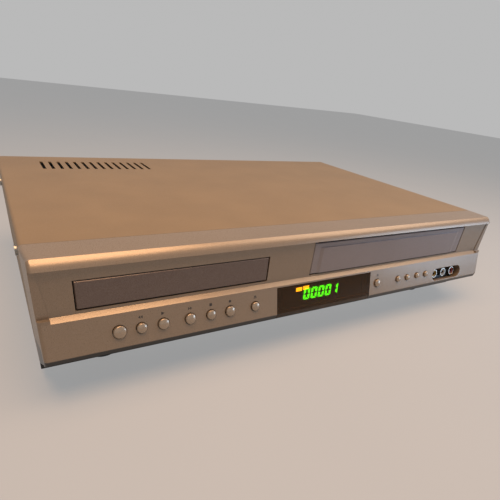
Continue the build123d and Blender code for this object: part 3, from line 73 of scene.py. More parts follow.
# ------------------------------------------------------------------ finishes
class Graph:
    """Node tree of one material, with short calls for the nodes that the finishes share."""

    def __init__(self, name: str) -> None:
        """Start an empty material.

        Args:
            name: Name of the material.
        """
        self.material = bpy.data.materials.new(name)
        self.material.use_nodes = True
        self.tree = self.material.node_tree
        self.tree.nodes.clear()
        self.shader = self.node("ShaderNodeBsdfPrincipled")
        output = self.node("ShaderNodeOutputMaterial")
        self.link(self.shader.outputs["BSDF"], output.inputs["Surface"])
        self.place = self.node("ShaderNodeTexCoord").outputs["Object"]

    def node(self, kind: str, **inputs: float) -> bpy.types.Node:
        """Add a node.

        Args:
            kind: Blender's name for the node type.
            **inputs: Socket values by name, with underscores for spaces.

        Returns:
            The new node.
        """
        made = self.tree.nodes.new(kind)
        for name, value in inputs.items():
            made.inputs[name.replace("_", " ")].default_value = value
        return made

    def link(self, start: bpy.types.NodeSocket, end: bpy.types.NodeSocket) -> None:
        """Join two sockets."""
        self.tree.links.new(start, end)

    def stretched(self, scale: Colour) -> bpy.types.NodeSocket:
        """Object coordinates, scaled on each axis.

        Args:
            scale: Factor along X, Y and Z.

        Returns:
            The scaled coordinates.
        """
        mapping = self.node("ShaderNodeMapping")
        mapping.inputs["Scale"].default_value = scale
        self.link(self.place, mapping.inputs["Vector"])
        return mapping.outputs["Vector"]

    def noise(
        self, scale: float, detail: float = 4.0, place: bpy.types.NodeSocket | None = None
    ) -> bpy.types.NodeSocket:
        """Smooth noise over the object.

        Args:
            scale: Features per metre.
            detail: Octaves.
            place: Coordinates to use in place of the plain ones.

        Returns:
            The noise value.
        """
        noise = self.node("ShaderNodeTexNoise", Scale=scale, Detail=detail)
        self.link(place or self.place, noise.inputs["Vector"])
        return noise.outputs["Fac"]

    def spread(
        self, value: bpy.types.NodeSocket, low: float, high: float, start: float = 0.3, end: float = 0.7
    ) -> bpy.types.NodeSocket:
        """Map a value from start..end to low..high, held at both ends.

        Args:
            value: Socket to map.
            low: Result at start.
            high: Result at end.
            start: Value that gives low.
            end: Value that gives high.

        Returns:
            The mapped value.
        """
        ranged = self.node("ShaderNodeMapRange")
        for name, number in (("From Min", start), ("From Max", end), ("To Min", low), ("To Max", high)):
            ranged.inputs[name].default_value = number
        self.link(value, ranged.inputs["Value"])
        return ranged.outputs["Result"]

    def blend(
        self,
        factor: bpy.types.NodeSocket,
        first: Colour | bpy.types.NodeSocket,
        second: Colour | bpy.types.NodeSocket,
    ) -> bpy.types.NodeSocket:
        """Mix two colours.

        Args:
            factor: 0 gives the first colour and 1 the second.
            first: Colour or colour socket.
            second: Colour or colour socket.

        Returns:
            The mixed colour.
        """
        mix = self.tree.nodes.new("ShaderNodeMix")
        mix.data_type = "RGBA"
        self.link(factor, mix.inputs[0])
        for socket, colour in ((mix.inputs[6], first), (mix.inputs[7], second)):
            if isinstance(colour, bpy.types.NodeSocket):
                self.link(colour, socket)
            else:
                socket.default_value = (*colour, 1.0)
        return mix.outputs[2]

    def bump(self, height: bpy.types.NodeSocket, depth: float, strength: float = 1.0) -> None:
        """Drive the shader's normal by a height.

        Args:
            height: Height socket, 0..1.
            depth: Height of the relief in metres.
            strength: Strength of the bump node.
        """
        bump = self.node("ShaderNodeBump", Strength=strength, Distance=depth)
        self.link(height, bump.inputs["Height"])
        self.link(bump.outputs["Normal"], self.shader.inputs["Normal"])


@dataclass(frozen=True)
class Finish:
    """Grained surface with mottled colour and gloss."""

    name: str
    colour: Colour
    rough: tuple[float, float] = (0.4, 0.55)
    metallic: float = 0.0
    mottle: float = 0.9
    grain_scale: float = 1800.0
    grain_depth: float = 0.00006
    stretch: Colour = (1.0, 1.0, 1.0)

    def darker(self, share: float) -> Colour:
        """The base colour at a share of its brightness."""
        return (self.colour[0] * share, self.colour[1] * share, self.colour[2] * share)

    def paint(self, graph: Graph) -> None:
        """Set the shader's colour, gloss and relief.

        Args:
            graph: Graph of the material being made.
        """
        place = graph.stretched(self.stretch)
        cloud = graph.noise(28.0, 5.0, place)
        grain = graph.noise(self.grain_scale, 3.0, place)
        graph.link(
            graph.blend(graph.spread(cloud, 0.0, 1.0), self.darker(self.mottle), self.colour),
            graph.shader.inputs["Base Color"],
        )
        graph.link(graph.spread(grain, *self.rough), graph.shader.inputs["Roughness"])
        graph.shader.inputs["Metallic"].default_value = self.metallic
        graph.bump(grain, self.grain_depth, 0.6)

    def build(self) -> bpy.types.Material:
        """Make the material.

        Returns:
            The finished material.
        """
        graph = Graph(self.name)
        self.paint(graph)
        return graph.material


@dataclass(frozen=True)
class SilverBezel(Finish):
    """Silver paint with metal flake on moulded plastic, with near-black painted shade under the lip."""

    # Near-black colour of the painted shade under the lip.
    painted_shade_under_lip: Colour = (0.012, 0.011, 0.010)
    painted_shade_below_z: float = 0.0337
    painted_shade_fade: float = 0.0004
    cloud_scale: float = 16.0
    flake_scale: float = 5200.0
    flake_share: float = 0.14
    flake_tone: Colour = (0.95, 0.93, 0.90)

    def paint(self, graph: Graph) -> None:
        """Flaked paint above the lip, near-black painted shade below a set height under it.

        Args:
            graph: Graph of the material being made.
        """
        cloud = graph.noise(self.cloud_scale, 4.0)
        grain = graph.noise(self.grain_scale, 3.0)
        flake = graph.noise(self.flake_scale, 1.0)
        silver = graph.blend(graph.spread(cloud, 0.0, 1.0), self.darker(self.mottle), self.colour)
        silver = graph.blend(graph.spread(flake, 0.0, self.flake_share, 0.45, 0.75), silver, self.flake_tone)
        # Painted shade: below a set height under the lip the colour turns near-black and the metal is taken
        # away.
        apart = graph.node("ShaderNodeSeparateXYZ")
        graph.link(graph.place, apart.inputs["Vector"])
        edge_low = self.painted_shade_below_z - self.painted_shade_fade
        edge_high = self.painted_shade_below_z + self.painted_shade_fade
        silver_above_shade = graph.spread(apart.outputs["Z"], 0.0, 1.0, edge_low, edge_high)
        graph.link(graph.blend(silver_above_shade, self.painted_shade_under_lip, silver), graph.shader.inputs["Base Color"])
        graph.link(graph.spread(silver_above_shade, 0.0, self.metallic, 0.0, 1.0), graph.shader.inputs["Metallic"])
        graph.link(graph.spread(grain, *self.rough), graph.shader.inputs["Roughness"])
        graph.bump(grain, self.grain_depth, 0.5)


@dataclass(frozen=True)
class CircuitBoard(Finish):
    """Coated board with tracks and drilled pads."""

    track: Colour = (0.10, 0.34, 0.18)
    pad: Colour = (0.62, 0.60, 0.52)

    def paint(self, graph: Graph) -> None:
        """Tracks from a cell pattern and pads from a dot pattern.

        Args:
            graph: Graph of the material being made.
        """
        cells = graph.node("ShaderNodeTexBrick", Scale=160.0, Mortar_Size=0.06)
        graph.link(graph.place, cells.inputs["Vector"])
        dots = graph.node("ShaderNodeTexVoronoi", Scale=320.0, Randomness=0.25)
        graph.link(graph.place, dots.inputs["Vector"])
        board = graph.blend(graph.spread(graph.noise(60.0), 0.0, 1.0), self.darker(self.mottle), self.colour)
        board = graph.blend(cells.outputs["Fac"], board, self.track)
        board = graph.blend(graph.spread(dots.outputs["Distance"], 1.0, 0.0, 0.10, 0.16), board, self.pad)
        graph.link(board, graph.shader.inputs["Base Color"])
        graph.link(graph.spread(graph.noise(400.0), *self.rough), graph.shader.inputs["Roughness"])
        graph.bump(cells.outputs["Fac"], self.grain_depth, 0.5)


@dataclass(frozen=True)
class SmokedAcrylic(Finish):
    """Dark see-through window with fine polish marks."""

    clearness: float = 0.9
    bending: float = 1.3

    def paint(self, graph: Graph) -> None:
        """Tinted transmission under a glossy face.

        Args:
            graph: Graph of the material being made.
        """
        haze = graph.noise(420.0, 4.0)
        graph.link(
            graph.blend(graph.spread(haze, 0.0, 1.0), self.darker(self.mottle), self.colour),
            graph.shader.inputs["Base Color"],
        )
        graph.link(graph.spread(haze, *self.rough), graph.shader.inputs["Roughness"])
        graph.shader.inputs["Transmission Weight"].default_value = self.clearness
        graph.shader.inputs["IOR"].default_value = self.bending
        graph.bump(haze, self.grain_depth, 0.2)


@dataclass(frozen=True)
class Glow(Finish):
    """Lit segment of the display, a little uneven along its length."""

    strength: float = 6.0

    def paint(self, graph: Graph) -> None:
        """Coloured light over a dark phosphor.

        Args:
            graph: Graph of the material being made.
        """
        uneven = graph.spread(graph.noise(900.0, 2.0), 0.0, 1.0)
        lit = graph.blend(uneven, self.darker(self.mottle), self.colour)
        graph.link(lit, graph.shader.inputs["Emission Color"])
        graph.link(lit, graph.shader.inputs["Base Color"])
        graph.shader.inputs["Emission Strength"].default_value = self.strength
        graph.link(graph.spread(uneven, *self.rough), graph.shader.inputs["Roughness"])


SILVER_BEZEL = SilverBezel("silver_bezel", (0.245, 0.195, 0.145), (0.26, 0.36), 0.40, 0.93, 2600.0, 0.00003)
# Tray door: the bezel silver at about half its brightness, a shaded copy that is painted shade of the dim
# front.
SHADED_SILVER_DOOR = SilverBezel(
    "silver_door_painted_shade", (0.122, 0.092, 0.082), (0.26, 0.36), 0.40, 0.93, 2600.0, 0.00003, painted_shade_below_z=0.0
)
# Cassette door: lighter than the tray door, partly its own lighter plastic; its bluish tint is painted cool
# light from the right.
COOL_LIT_CASSETTE_DOOR = SilverBezel(
    "cassette_door_painted_cool_light", (0.215, 0.195, 0.205), (0.24, 0.34), 0.30, 0.93, 2600.0, 0.00003, painted_shade_below_z=0.0
)
SILVER_BUTTON = Finish("silver_button", (0.38, 0.31, 0.24), (0.20, 0.28), 0.70, 0.94, 4200.0, 0.000006)
# Cover paint: dark silver-grey paint whose brown tint is partly painted warm lamplight.
WARM_LIT_COVER_PAINT = Finish("cover_paint", (0.245, 0.185, 0.115), (0.42, 0.58), 0.25, 0.90, 2400.0, 0.00008)
ZINC_SHEET = Finish(
    "zinc_sheet", (0.60, 0.61, 0.60), (0.30, 0.48), 0.95, 0.82, 700.0, 0.00003, stretch=(1.0, 9.0, 9.0)
)
SCREW_STEEL = Finish("screw_steel", (0.40, 0.39, 0.36), (0.28, 0.42), 0.95, 0.85, 2500.0, 0.00003)
WINDOW_ACRYLIC = SmokedAcrylic("window_acrylic", (0.22, 0.125, 0.04), (0.04, 0.09), 0.0, 0.9, 400.0, 0.00001)
DISPLAY_TUBE = Finish("display_tube", (0.030, 0.034, 0.028), (0.10, 0.18), 0.0, 0.8, 900.0, 0.00001)
GREEN_BOARD = CircuitBoard("green_board", (0.035, 0.16, 0.07), (0.30, 0.42), 0.0, 0.85, 300.0, 0.00004)
TAN_BOARD = CircuitBoard(
    "tan_board", (0.42, 0.30, 0.15), (0.42, 0.55), 0.0, 0.88, 300.0, 0.00004, track=(0.50, 0.37, 0.20)
)
BLACK_PLASTIC = Finish("black_plastic", (0.022, 0.022, 0.023), (0.38, 0.55), 0.0, 0.8, 2200.0, 0.00008)
NICKEL = Finish("nickel", (0.58, 0.55, 0.49), (0.14, 0.26), 1.0, 0.9, 1200.0, 0.00002)
ACETAL = Finish("white_acetal", (0.80, 0.78, 0.70), (0.34, 0.46), 0.0, 0.94, 1600.0, 0.00004)
BELT_RUBBER = Finish("belt_rubber", (0.018, 0.018, 0.018), (0.60, 0.75), 0.0, 0.8, 2600.0, 0.00006)
TRAY_PLASTIC = Finish("tray_plastic", (0.055, 0.055, 0.060), (0.36, 0.52), 0.0, 0.85, 2400.0, 0.00007)
FRAME_PLASTIC = Finish("frame_plastic", (0.035, 0.035, 0.038), (0.42, 0.58), 0.0, 0.85, 2000.0, 0.00008)
MOTOR_CAN = Finish("motor_can", (0.50, 0.50, 0.49), (0.26, 0.40), 0.95, 0.88, 900.0, 0.00003, (1.0, 1.0, 7.0))
DIE_CAST = Finish("die_cast", (0.36, 0.37, 0.39), (0.42, 0.58), 0.85, 0.85, 1300.0, 0.00009)
DRUM_METAL = Finish(
    "drum_metal", (0.80, 0.80, 0.79), (0.10, 0.20), 1.0, 0.95, 900.0, 0.00001, stretch=(1.0, 1.0, 16.0)
)
ROLLER_RUBBER = Finish("roller_rubber", (0.030, 0.030, 0.030), (0.62, 0.78), 0.0, 0.8, 3000.0, 0.00006)
FOOT_RUBBER = Finish("foot_rubber", (0.035, 0.035, 0.034), (0.60, 0.78), 0.0, 0.8, 1800.0, 0.00010)
GREEN_GLOW = Glow("green_glow", (0.05, 1.0, 0.006), (0.3, 0.4), 0.0, 0.8, 900.0, 0.0, strength=15.0)
AMBER_GLOW = Glow("amber_glow", (1.0, 0.62, 0.02), (0.3, 0.4), 0.0, 0.8, 900.0, 0.0, strength=12.0)
PRINT_GREY = Finish("print_grey", (0.035, 0.032, 0.031), (0.50, 0.62), 0.0, 0.85, 3000.0, 0.00002)
RING_YELLOW = Finish("socket_yellow", (0.34, 0.21, 0.02), (0.35, 0.48), 0.0, 0.9, 2000.0, 0.00004)
RING_WHITE = Finish("socket_white", (0.40, 0.37, 0.33), (0.35, 0.48), 0.0, 0.92, 2000.0, 0.00004)
RING_RED = Finish("socket_red", (0.26, 0.02, 0.015), (0.35, 0.48), 0.0, 0.9, 2000.0, 0.00004)

SLOT_FINISHES: dict[str, Finish] = {
    "bezel_silver": SILVER_BEZEL,
    "door_silver": SHADED_SILVER_DOOR,
    "button_silver": SILVER_BUTTON,
    "cover_paint": WARM_LIT_COVER_PAINT,
    "zinc_steel": ZINC_SHEET,
    "screw_steel": SCREW_STEEL,
    "smoked_acrylic": WINDOW_ACRYLIC,
    "display_glass": DISPLAY_TUBE,
    "board_green": GREEN_BOARD,
    "board_tan": TAN_BOARD,
    "black_plastic": BLACK_PLASTIC,
    "nickel": NICKEL,
    "gear_white": ACETAL,
    "belt_rubber": BELT_RUBBER,
    "tray_grey": TRAY_PLASTIC,
    "frame_black": FRAME_PLASTIC,
    "motor_can": MOTOR_CAN,
    "pickup_metal": DIE_CAST,
    "drum_metal": DRUM_METAL,
    "roller_rubber": ROLLER_RUBBER,
    "foot_plastic": FOOT_RUBBER,
}

# The cassette door takes its own silver, with painted cool light.
NODE_FINISHES: dict[str, Finish] = {"cassette_door": COOL_LIT_CASSETTE_DOOR}


class Palette:
    """Makes each material once and hands it out by finish."""

    def __init__(self) -> None:
        """Start with no material made."""
        self.made: dict[str, bpy.types.Material] = {}

    def get(self, finish: Finish) -> bpy.types.Material:
        """Find or make the material of a finish.

        Args:
            finish: Finish wanted.

        Returns:
            Its material.
        """
        if finish.name not in self.made:
            self.made[finish.name] = finish.build()
        return self.made[finish.name]

    def dress(self, piece: bpy.types.Object, finish: Finish) -> None:
        """Give a piece one finish.

        Args:
            piece: Mesh object.
            finish: Finish for all its faces.
        """
        piece.data.materials.clear()
        piece.data.materials.append(self.get(finish))


# ------------------------------------------------------------------ geometry
@dataclass(frozen=True)
class SlopedPanel:
    """Plane of the lower front panel, which carries the buttons, the window and the marks."""

    top_depth: float = -144.56
    top_z: float = 56.0
    slope: float = math.atan2(5.44, 21.8)

    def at(self, x: float, down: float, out: float = 0.0) -> Vector:
        """A place on the panel.

        Args:
            x: Millimetres to the right of the middle.
            down: Millimetres down the slope from the ledge.
            out: Millimetres out of the face.

        Returns:
            The place in metres.
        """
        sine, cosine = math.sin(self.slope), math.cos(self.slope)
        y = self.top_depth - down * sine - out * cosine
        z = self.top_z - down * cosine + out * sine
        return Vector((x, y, z)) * MM


PANEL = SlopedPanel()


def make_mesh(name: str, form: bmesh.types.BMesh) -> bpy.types.Object:
    """Turn a bmesh into a linked object.

    Args:
        name: Name of the object.
        form: Finished bmesh, freed here.

    Returns:
        The new object.
    """
    bmesh.ops.recalc_face_normals(form, faces=form.faces[:])
    mesh = bpy.data.meshes.new(name)
    form.to_mesh(mesh)
    form.free()
    piece = bpy.data.objects.new(name, mesh)
    bpy.context.scene.collection.objects.link(piece)
    return piece


def add_slab(form: bmesh.types.BMesh, outline: list[tuple[float, float]], out: float, rise: float) -> None:
    """Add a thin slab that lies on the sloped panel.

    Args:
        form: Bmesh to add to.
        outline: Corners as (x, down) in millimetres.
        out: Height of its underside above the panel, in millimetres.
        rise: Its thickness in millimetres.
    """
    low = [form.verts.new(PANEL.at(x, down, out)) for x, down in outline]
    high = [form.verts.new(PANEL.at(x, down, out + rise)) for x, down in outline]
    form.faces.new(low)
    form.faces.new(reversed(high))
    for i in range(len(outline)):
        j = (i + 1) % len(outline)
        form.faces.new((low[j], low[i], high[i], high[j]))


def round_outline(x: float, down: float, radius: float, count: int = 20) -> list[tuple[float, float]]:
    """Corners of a circle on the panel.

    Args:
        x: Centre.
        down: Centre, down the slope.
        radius: Radius in millimetres.
        count: Number of corners.

    Returns:
        The corners as (x, down).
    """
    turns = [2 * math.pi * i / count for i in range(count)]
    return [(x + radius * math.cos(t), down + radius * math.sin(t)) for t in turns]


# ------------------------------------------------------------------ sub-assemblies
class Segment(Enum):
    """The seven strokes of a lit digit, as corners in a 1 by 2 cell."""

    TOP = ((0.14, 0.02), (0.86, 0.02), (0.62, 0.32), (0.38, 0.32))
    UPPER_RIGHT = ((0.96, 0.12), (0.96, 0.95), (0.66, 0.82), (0.66, 0.40))
    LOWER_RIGHT = ((0.96, 1.05), (0.96, 1.88), (0.66, 1.60), (0.66, 1.18))
    FOOT = ((0.86, 1.98), (0.14, 1.98), (0.38, 1.68), (0.62, 1.68))
    LOWER_LEFT = ((0.04, 1.88), (0.04, 1.05), (0.34, 1.18), (0.34, 1.60))
    UPPER_LEFT = ((0.04, 0.95), (0.04, 0.12), (0.34, 0.40), (0.34, 0.82))


ZERO = tuple(Segment)
ONE = (Segment.UPPER_RIGHT, Segment.LOWER_RIGHT)


@dataclass
class Display:
    """Lit tube behind the smoked window."""

    left: float = -25.4
    top: float = 5.9
    digit_width: float = 6.6
    digit_height: float = 9.4
    pitch: float = 7.6
    lean: float = 1.3
    behind: float = 2.6
    swell: float = 1.04
    reading: tuple[tuple[Segment, ...], ...] = (ZERO, ZERO, ZERO, ZERO, ONE)
    lamps: tuple[tuple[float, float, float], ...] = ((-32.0, 4.4, 5.8), (-25.0, 4.0, 5.8))
    lamp_height: float = 3.0
    lamp_lean: float = 0.4
    film: float = 0.1

    def stroke(self, segment: Segment, left: float) -> list[tuple[float, float]]:
        """Corners of one stroke on the panel.

        Args:
            segment: Stroke to draw.
            left: Left side of the digit's cell.

        Returns:
            Corners as (x, down).
        """
        corners = []
        middle_u = sum(u for u, _ in segment.value) / 4
        middle_v = sum(v for _, v in segment.value) / 4
        for u, v in segment.value:
            u = middle_u + (u - middle_u) * self.swell
            v = middle_v + (v - middle_v) * self.swell
            down = self.top + v / 2 * self.digit_height
            corners.append((left + u * self.digit_width + (1 - v / 2) * self.lean, down))
        return corners

    def build(self, palette: Palette) -> list[bpy.types.Object]:
        """Make the lit digits and the small amber lamps.

        Args:
            palette: Materials.

        Returns:
            The pieces, riding on the cabinet.
        """
        digits = bmesh.new()
        for place, strokes in enumerate(self.reading):
            for segment in strokes:
                left = self.left + place * self.pitch
                add_slab(digits, self.stroke(segment, left), -self.behind, self.film)
        lamps = bmesh.new()
        for x, down, width in self.lamps:
            foot = down + self.lamp_height
            foot_x = x - self.lamp_lean
            corners = [(x, down), (x + width, down), (foot_x + width, foot), (foot_x, foot)]
            add_slab(lamps, corners, -self.behind, self.film)
        pieces = [make_mesh("display_digits", digits), make_mesh("display_lamps", lamps)]
        for piece, finish in zip(pieces, (GREEN_GLOW, AMBER_GLOW)):
            palette.dress(piece, finish)
            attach(piece, "cabinet")
        return pieces


class Symbol(Enum):
    """Plain transport signs, as outlines about 2 mm across."""

    PLAY = (((-0.8, -0.9), (0.9, 0.0), (-0.8, 0.9)),)
    REWIND = (((0.9, -0.8), (-0.1, 0.0), (0.9, 0.8)), ((-0.2, -0.8), (-1.2, 0.0), (-0.2, 0.8)))
    FORWARD = (((-0.9, -0.8), (0.1, 0.0), (-0.9, 0.8)), ((0.2, -0.8), (1.2, 0.0), (0.2, 0.8)))
    STOP = (((-0.75, -0.75), (0.75, -0.75), (0.75, 0.75), (-0.75, 0.75)),)
    EJECT = (
        ((-0.95, 0.25), (0.95, 0.25), (0.0, -0.9)),
        ((-0.95, 0.5), (0.95, 0.5), (0.95, 0.9), (-0.95, 0.9)),
    )
    DOT = (tuple((0.75 * math.cos(t * math.pi / 6), 0.75 * math.sin(t * math.pi / 6)) for t in range(12)),)


@dataclass
class PanelMarks:
    """Printed signs over the buttons."""

    row: float = 4.9
    ink: float = 0.03
    size: float = 1.35
    signs: dict[float, Symbol] = field(
        default_factory=lambda: {
            -157.6: Symbol.REWIND,
            -143.0: Symbol.PLAY,
            -124.0: Symbol.FORWARD,
            -108.3: Symbol.STOP,
            -93.1: Symbol.DOT,
            -71.9: Symbol.EJECT,
            58.2: Symbol.EJECT,
        }
    )

    def build(self, palette: Palette) -> list[bpy.types.Object]:
        """Print the marks.

        Args:
            palette: Materials.

        Returns:
            The pieces, riding on the cabinet.
        """
        form = bmesh.new()
        for x, symbol in self.signs.items():
            for outline in symbol.value:
                corners = [(x + u * self.size, self.row + v * self.size) for u, v in outline]
                add_slab(form, corners, 0.0, self.ink)
        piece = make_mesh("printed_signs", form)
        palette.dress(piece, PRINT_GREY)
        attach(piece, "cabinet")
        return [piece]


@dataclass
class ButtonCrowns:
    """Domed crowns on the flat tops of the twelve buttons."""

    row: float = 12.2
    flange: float = 1.7
    rise: float = 1.1
    dome: float = 1.15
    inset: float = 0.06
    steps: int = 7
    count: int = 32
    buttons: tuple[str, ...] = (
        "power_button",
        "rewind_button",
        "play_button",
        "fast_forward_button",
        "stop_button",
        "record_button",
        "open_close_button",
        "eject_button",
        "small_button_1",
        "small_button_2",
        "small_button_3",
        "small_button_4",
    )

    def crown(self, name: str) -> bmesh.types.BMesh:
        """Shape one crown, a cap of a ball on the button's top.

        Args:
            name: The button's node.

        Returns:
            The crown's bmesh.
        """
        low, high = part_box(name)
        middle = (low[0] + high[0]) / 2 / MM
        radius = (high[0] - low[0]) / 2 / MM - self.flange - self.inset
        ball = (radius**2 + self.dome**2) / (2 * self.dome)
        widest = math.asin(radius / ball)
        form = bmesh.new()
        rings = []
        for step in range(self.steps + 1):
            turn = widest * (1 - step / (self.steps + 1))
            out = self.rise + self.dome - ball * (1 - math.cos(turn))
            outline = round_outline(middle, self.row, ball * math.sin(turn), self.count)
            rings.append([form.verts.new(PANEL.at(x, down, out)) for x, down in outline])
        for first, second in zip(rings, rings[1:]):
            for i in range(self.count):
                j = (i + 1) % self.count
                form.faces.new((first[i], first[j], second[j], second[i])).smooth = True
        tip = form.verts.new(PANEL.at(middle, self.row, self.rise + self.dome))
        for i in range(self.count):
            form.faces.new((rings[-1][i], rings[-1][(i + 1) % self.count], tip)).smooth = True
        form.faces.new(reversed(rings[0]))
        return form

    def build(self, palette: Palette) -> list[bpy.types.Object]:
        """Make the crowns.

        Args:
            palette: Materials.

        Returns:
            The crowns, each riding on its own button.
        """
        pieces = []
        for name in self.buttons:
            piece = make_mesh(name + "_crown", self.crown(name))
            palette.dress(piece, SILVER_BUTTON)
            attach(piece, name)
            pieces.append(piece)
        return pieces


@dataclass
class SocketRings:
    """Coloured insulators inside the three front sockets."""

    xs: tuple[float, float, float] = (147.0, 161.0, 175.0)
    down: float = 15.45
    outer: float = 3.3
    inner: float = 1.75
    behind: float = 4.9
    depth: float = 1.0
    bevel: float = 0.5
    dish: float = 0.3
    count: int = 28

    def build(self, palette: Palette) -> list[bpy.types.Object]:
        """Make one stepped ring for each socket.

        Args:
            palette: Materials.

        Returns:
            The rings, riding on the cabinet.
        """
        pieces = []
        for x, finish in zip(self.xs, (RING_YELLOW, RING_WHITE, RING_RED)):
            form = bmesh.new()
            profile = (
                (self.outer, -self.behind - self.depth),
                (self.outer, -self.behind),
                (self.inner + self.bevel, -self.behind + self.bevel),
                (self.inner, -self.behind + self.dish),
                (self.inner, -self.behind - self.depth),
            )
            rings = []
            for radius, out in profile:
                outline = round_outline(x, self.down, radius, self.count)
                rings.append([form.verts.new(PANEL.at(*place, out)) for place in outline])
            for first, second in zip(rings, rings[1:] + rings[:1]):
                for i in range(self.count):
                    j = (i + 1) % self.count
                    form.faces.new((first[i], first[j], second[j], second[i]))
            piece = make_mesh(finish.name + "_ring", form)
            palette.dress(piece, finish)
            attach(piece, "cabinet")
            pieces.append(piece)
        return pieces


@dataclass
class CadPieces:
    """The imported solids, each with the finish of its slot."""

    smooth_angle: float = math.radians(32)

    def build(self, frame: dict, palette: Palette) -> list[bpy.types.Object]:
        """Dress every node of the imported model.

        Args:
            palette: Materials.

        Returns:
            The dressed nodes.
        """
        slots = {row["node"]: row["material_slot"] for row in frame["record"]["subparts"]}
        for name, piece in frame["nodes"].items():
            palette.dress(piece, NODE_FINISHES.get(name, SLOT_FINISHES[slots[name]]))
            piece.data.shade_smooth()
            piece.data.set_sharp_from_angle(angle=self.smooth_angle)
        return list(frame["nodes"].values())


# ------------------------------------------------------------------ studio
@dataclass(frozen=True)
class SoftLamp:
    """Area lamp aimed at a point of the player."""

    name: str
    place: Colour
    aim: Colour
    size: float
    power: float
    tint: Colour

    def build(self) -> bpy.types.Object:
        """Hang the lamp.

        Returns:
            The lamp object.
        """
        light = bpy.data.lights.new(self.name, "AREA")
        light.shape = "DISK"
        light.size = self.size
        light.energy = self.power
        light.color = self.tint
        lamp = bpy.data.objects.new(self.name, light)
        lamp.visible_camera = False
        bpy.context.scene.collection.objects.link(lamp)
        lamp.location = self.place
        lamp.rotation_euler = (Vector(self.aim) - Vector(self.place)).to_track_quat("-Z", "Y").to_euler()
        return lamp


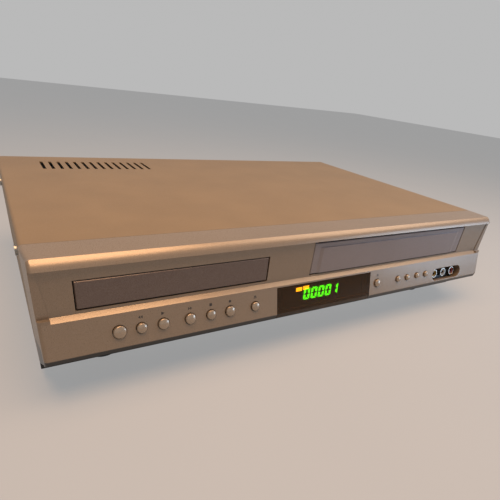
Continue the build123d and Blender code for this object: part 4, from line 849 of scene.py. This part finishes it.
@dataclass
class Studio:
    """Pale table, soft lamps and plain surround."""

    floor_half: float = 4.0
    floor_colour: Colour = (0.50, 0.50, 0.50)
    floor_lift: float = 0.62
    floor_mottle: float = 0.96
    floor_rough: float = 0.8
    surround: Colour = (0.49, 0.49, 0.49)
    fill: float = 0.12
    fill_tint: Colour = (0.95, 0.95, 1.0)
    lamps: tuple[SoftLamp, ...] = (
        SoftLamp("warm_key", (-0.15, -0.22, 1.0), (-0.1, -0.05, 0.05), 0.85, 14.0, (1.0, 0.60, 0.33)),
        SoftLamp("ledge_light", (0.68, -0.20, 0.80), (0.1, -0.14, 0.06), 0.7, 4.2, (1.0, 0.76, 0.58)),
        SoftLamp("cool_side", (0.60, -0.50, 0.18), (0.2, -0.14, 0.05), 0.34, 1.3, (0.50, 0.71, 1.0)),
        SoftLamp("front_fill", (-0.5, -1.6, 0.7), (0.0, -0.14, 0.05), 1.2, 0.5, (1.0, 0.80, 0.62)),
    )

    def lift(self, graph: Graph) -> None:
        """Blend the table top into the plain surround where a ray sees it, so that it stays pale far away.

        Args:
            graph: Graph of the table top's material.
        """
        tree = graph.material.node_tree
        output = next(node for node in tree.nodes if node.type == "OUTPUT_MATERIAL")
        path = graph.node("ShaderNodeLightPath")
        plain_tone = graph.node("ShaderNodeEmission")
        plain_tone.inputs["Color"].default_value = (*self.surround, 1.0)
        seen = path.outputs["Is Camera Ray"]
        for kind in ("Is Glossy Ray", "Is Transmission Ray"):
            either = graph.node("ShaderNodeMath")
            either.operation = "MAXIMUM"
            graph.link(seen, either.inputs[0])
            graph.link(path.outputs[kind], either.inputs[1])
            seen = either.outputs["Value"]
        share = graph.node("ShaderNodeMath")
        share.operation = "MULTIPLY"
        share.inputs[1].default_value = self.floor_lift
        graph.link(seen, share.inputs[0])
        mix = graph.node("ShaderNodeMixShader")
        graph.link(share.outputs["Value"], mix.inputs["Fac"])
        graph.link(graph.shader.outputs["BSDF"], mix.inputs[1])
        graph.link(plain_tone.outputs["Emission"], mix.inputs[2])
        graph.link(mix.outputs["Shader"], output.inputs["Surface"])

    def floor(self) -> bpy.types.Object:
        """Lay the pale table top."""
        graph = Graph("table_top")
        graph.link(
            graph.blend(
                graph.spread(graph.noise(6.0), 0.0, 1.0),
                tuple(self.floor_mottle * part for part in self.floor_colour),
                self.floor_colour,
            ),
            graph.shader.inputs["Base Color"],
        )
        graph.shader.inputs["Roughness"].default_value = self.floor_rough
        self.lift(graph)
        form = bmesh.new()
        bmesh.ops.create_grid(form, x_segments=8, y_segments=8, size=self.floor_half)
        top = make_mesh("table_top", form)
        top.data.materials.append(graph.material)
        return top

    def world(self) -> None:
        """Set the surround: plain to the camera, in gloss and through the window, else a soft fill."""
        world = bpy.data.worlds.new("surround")
        bpy.context.scene.world = world
        world.use_nodes = True
        tree = world.node_tree
        tree.nodes.clear()
        output = tree.nodes.new("ShaderNodeOutputWorld")
        mix = tree.nodes.new("ShaderNodeMixShader")
        seen = tree.nodes.new("ShaderNodeBackground")
        soft = tree.nodes.new("ShaderNodeBackground")
        path = tree.nodes.new("ShaderNodeLightPath")
        seen.inputs["Color"].default_value = (*self.surround, 1.0)
        soft.inputs["Color"].default_value = (*self.fill_tint, 1.0)
        soft.inputs["Strength"].default_value = self.fill
        either = tree.nodes.new("ShaderNodeMath")
        shown = tree.nodes.new("ShaderNodeMath")
        for both in (either, shown):
            both.operation = "MAXIMUM"
        tree.links.new(path.outputs["Is Camera Ray"], either.inputs[0])
        tree.links.new(path.outputs["Is Glossy Ray"], either.inputs[1])
        tree.links.new(either.outputs["Value"], shown.inputs[0])
        tree.links.new(path.outputs["Is Transmission Ray"], shown.inputs[1])
        tree.links.new(shown.outputs["Value"], mix.inputs["Fac"])
        tree.links.new(soft.outputs["Background"], mix.inputs[1])
        tree.links.new(seen.outputs["Background"], mix.inputs[2])
        tree.links.new(mix.outputs["Shader"], output.inputs["Surface"])

    def build(self) -> None:
        """Set up the floor, the surround and the lamps."""
        self.floor()
        self.world()
        for lamp in self.lamps:
            lamp.build()
        bpy.context.scene.view_settings.view_transform = "Standard"


@dataclass(frozen=True)
class PhotoCamera:
    """Camera where the photographer stood."""

    place: Colour = (-0.220646, -0.361940, 0.186784)
    turn: Colour = (2.06658383, -0.49477529, 0.43570185)
    focal_px: float = 397.156
    centre_px: tuple[float, float] = (251.129, 315.102)
    frame_px: float = 500.0
    sensor: float = 36.0

    def build(self) -> bpy.types.Object:
        """Set up the camera and make it the scene's own.

        Returns:
            The camera object.
        """
        data = bpy.data.cameras.new("photo_camera")
        data.sensor_width = self.sensor
        data.lens = self.focal_px / self.frame_px * self.sensor
        data.shift_x = (self.frame_px / 2 - self.centre_px[0]) / self.frame_px
        data.shift_y = (self.centre_px[1] - self.frame_px / 2) / self.frame_px
        data.clip_start = 0.01
        turn = Vector(self.turn)
        to_view = Matrix.Rotation(turn.length, 3, turn.normalized())
        camera = bpy.data.objects.new("photo_camera", data)
        bpy.context.scene.collection.objects.link(camera)
        facing = to_view.transposed() @ Matrix.Diagonal((1.0, -1.0, -1.0))
        camera.matrix_world = Matrix.Translation(self.place) @ facing.to_4x4()
        bpy.context.scene.camera = camera
        return camera


def main() -> None:
    """Load the frame, dress it, and set up the studio and the camera."""
    logging.basicConfig(level=logging.INFO, format="%(name)s: %(message)s")
    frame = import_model()
    palette = Palette()
    for piece in CadPieces().build(frame, palette):
        LOG.info("dressed %s", piece.name)
    for assembly in (Display(), PanelMarks(), ButtonCrowns(), SocketRings()):
        for piece in assembly.build(palette):
            LOG.info("built %s", piece.name)
    Studio().build()
    PhotoCamera().build()


if __name__ == "__main__":
    main()
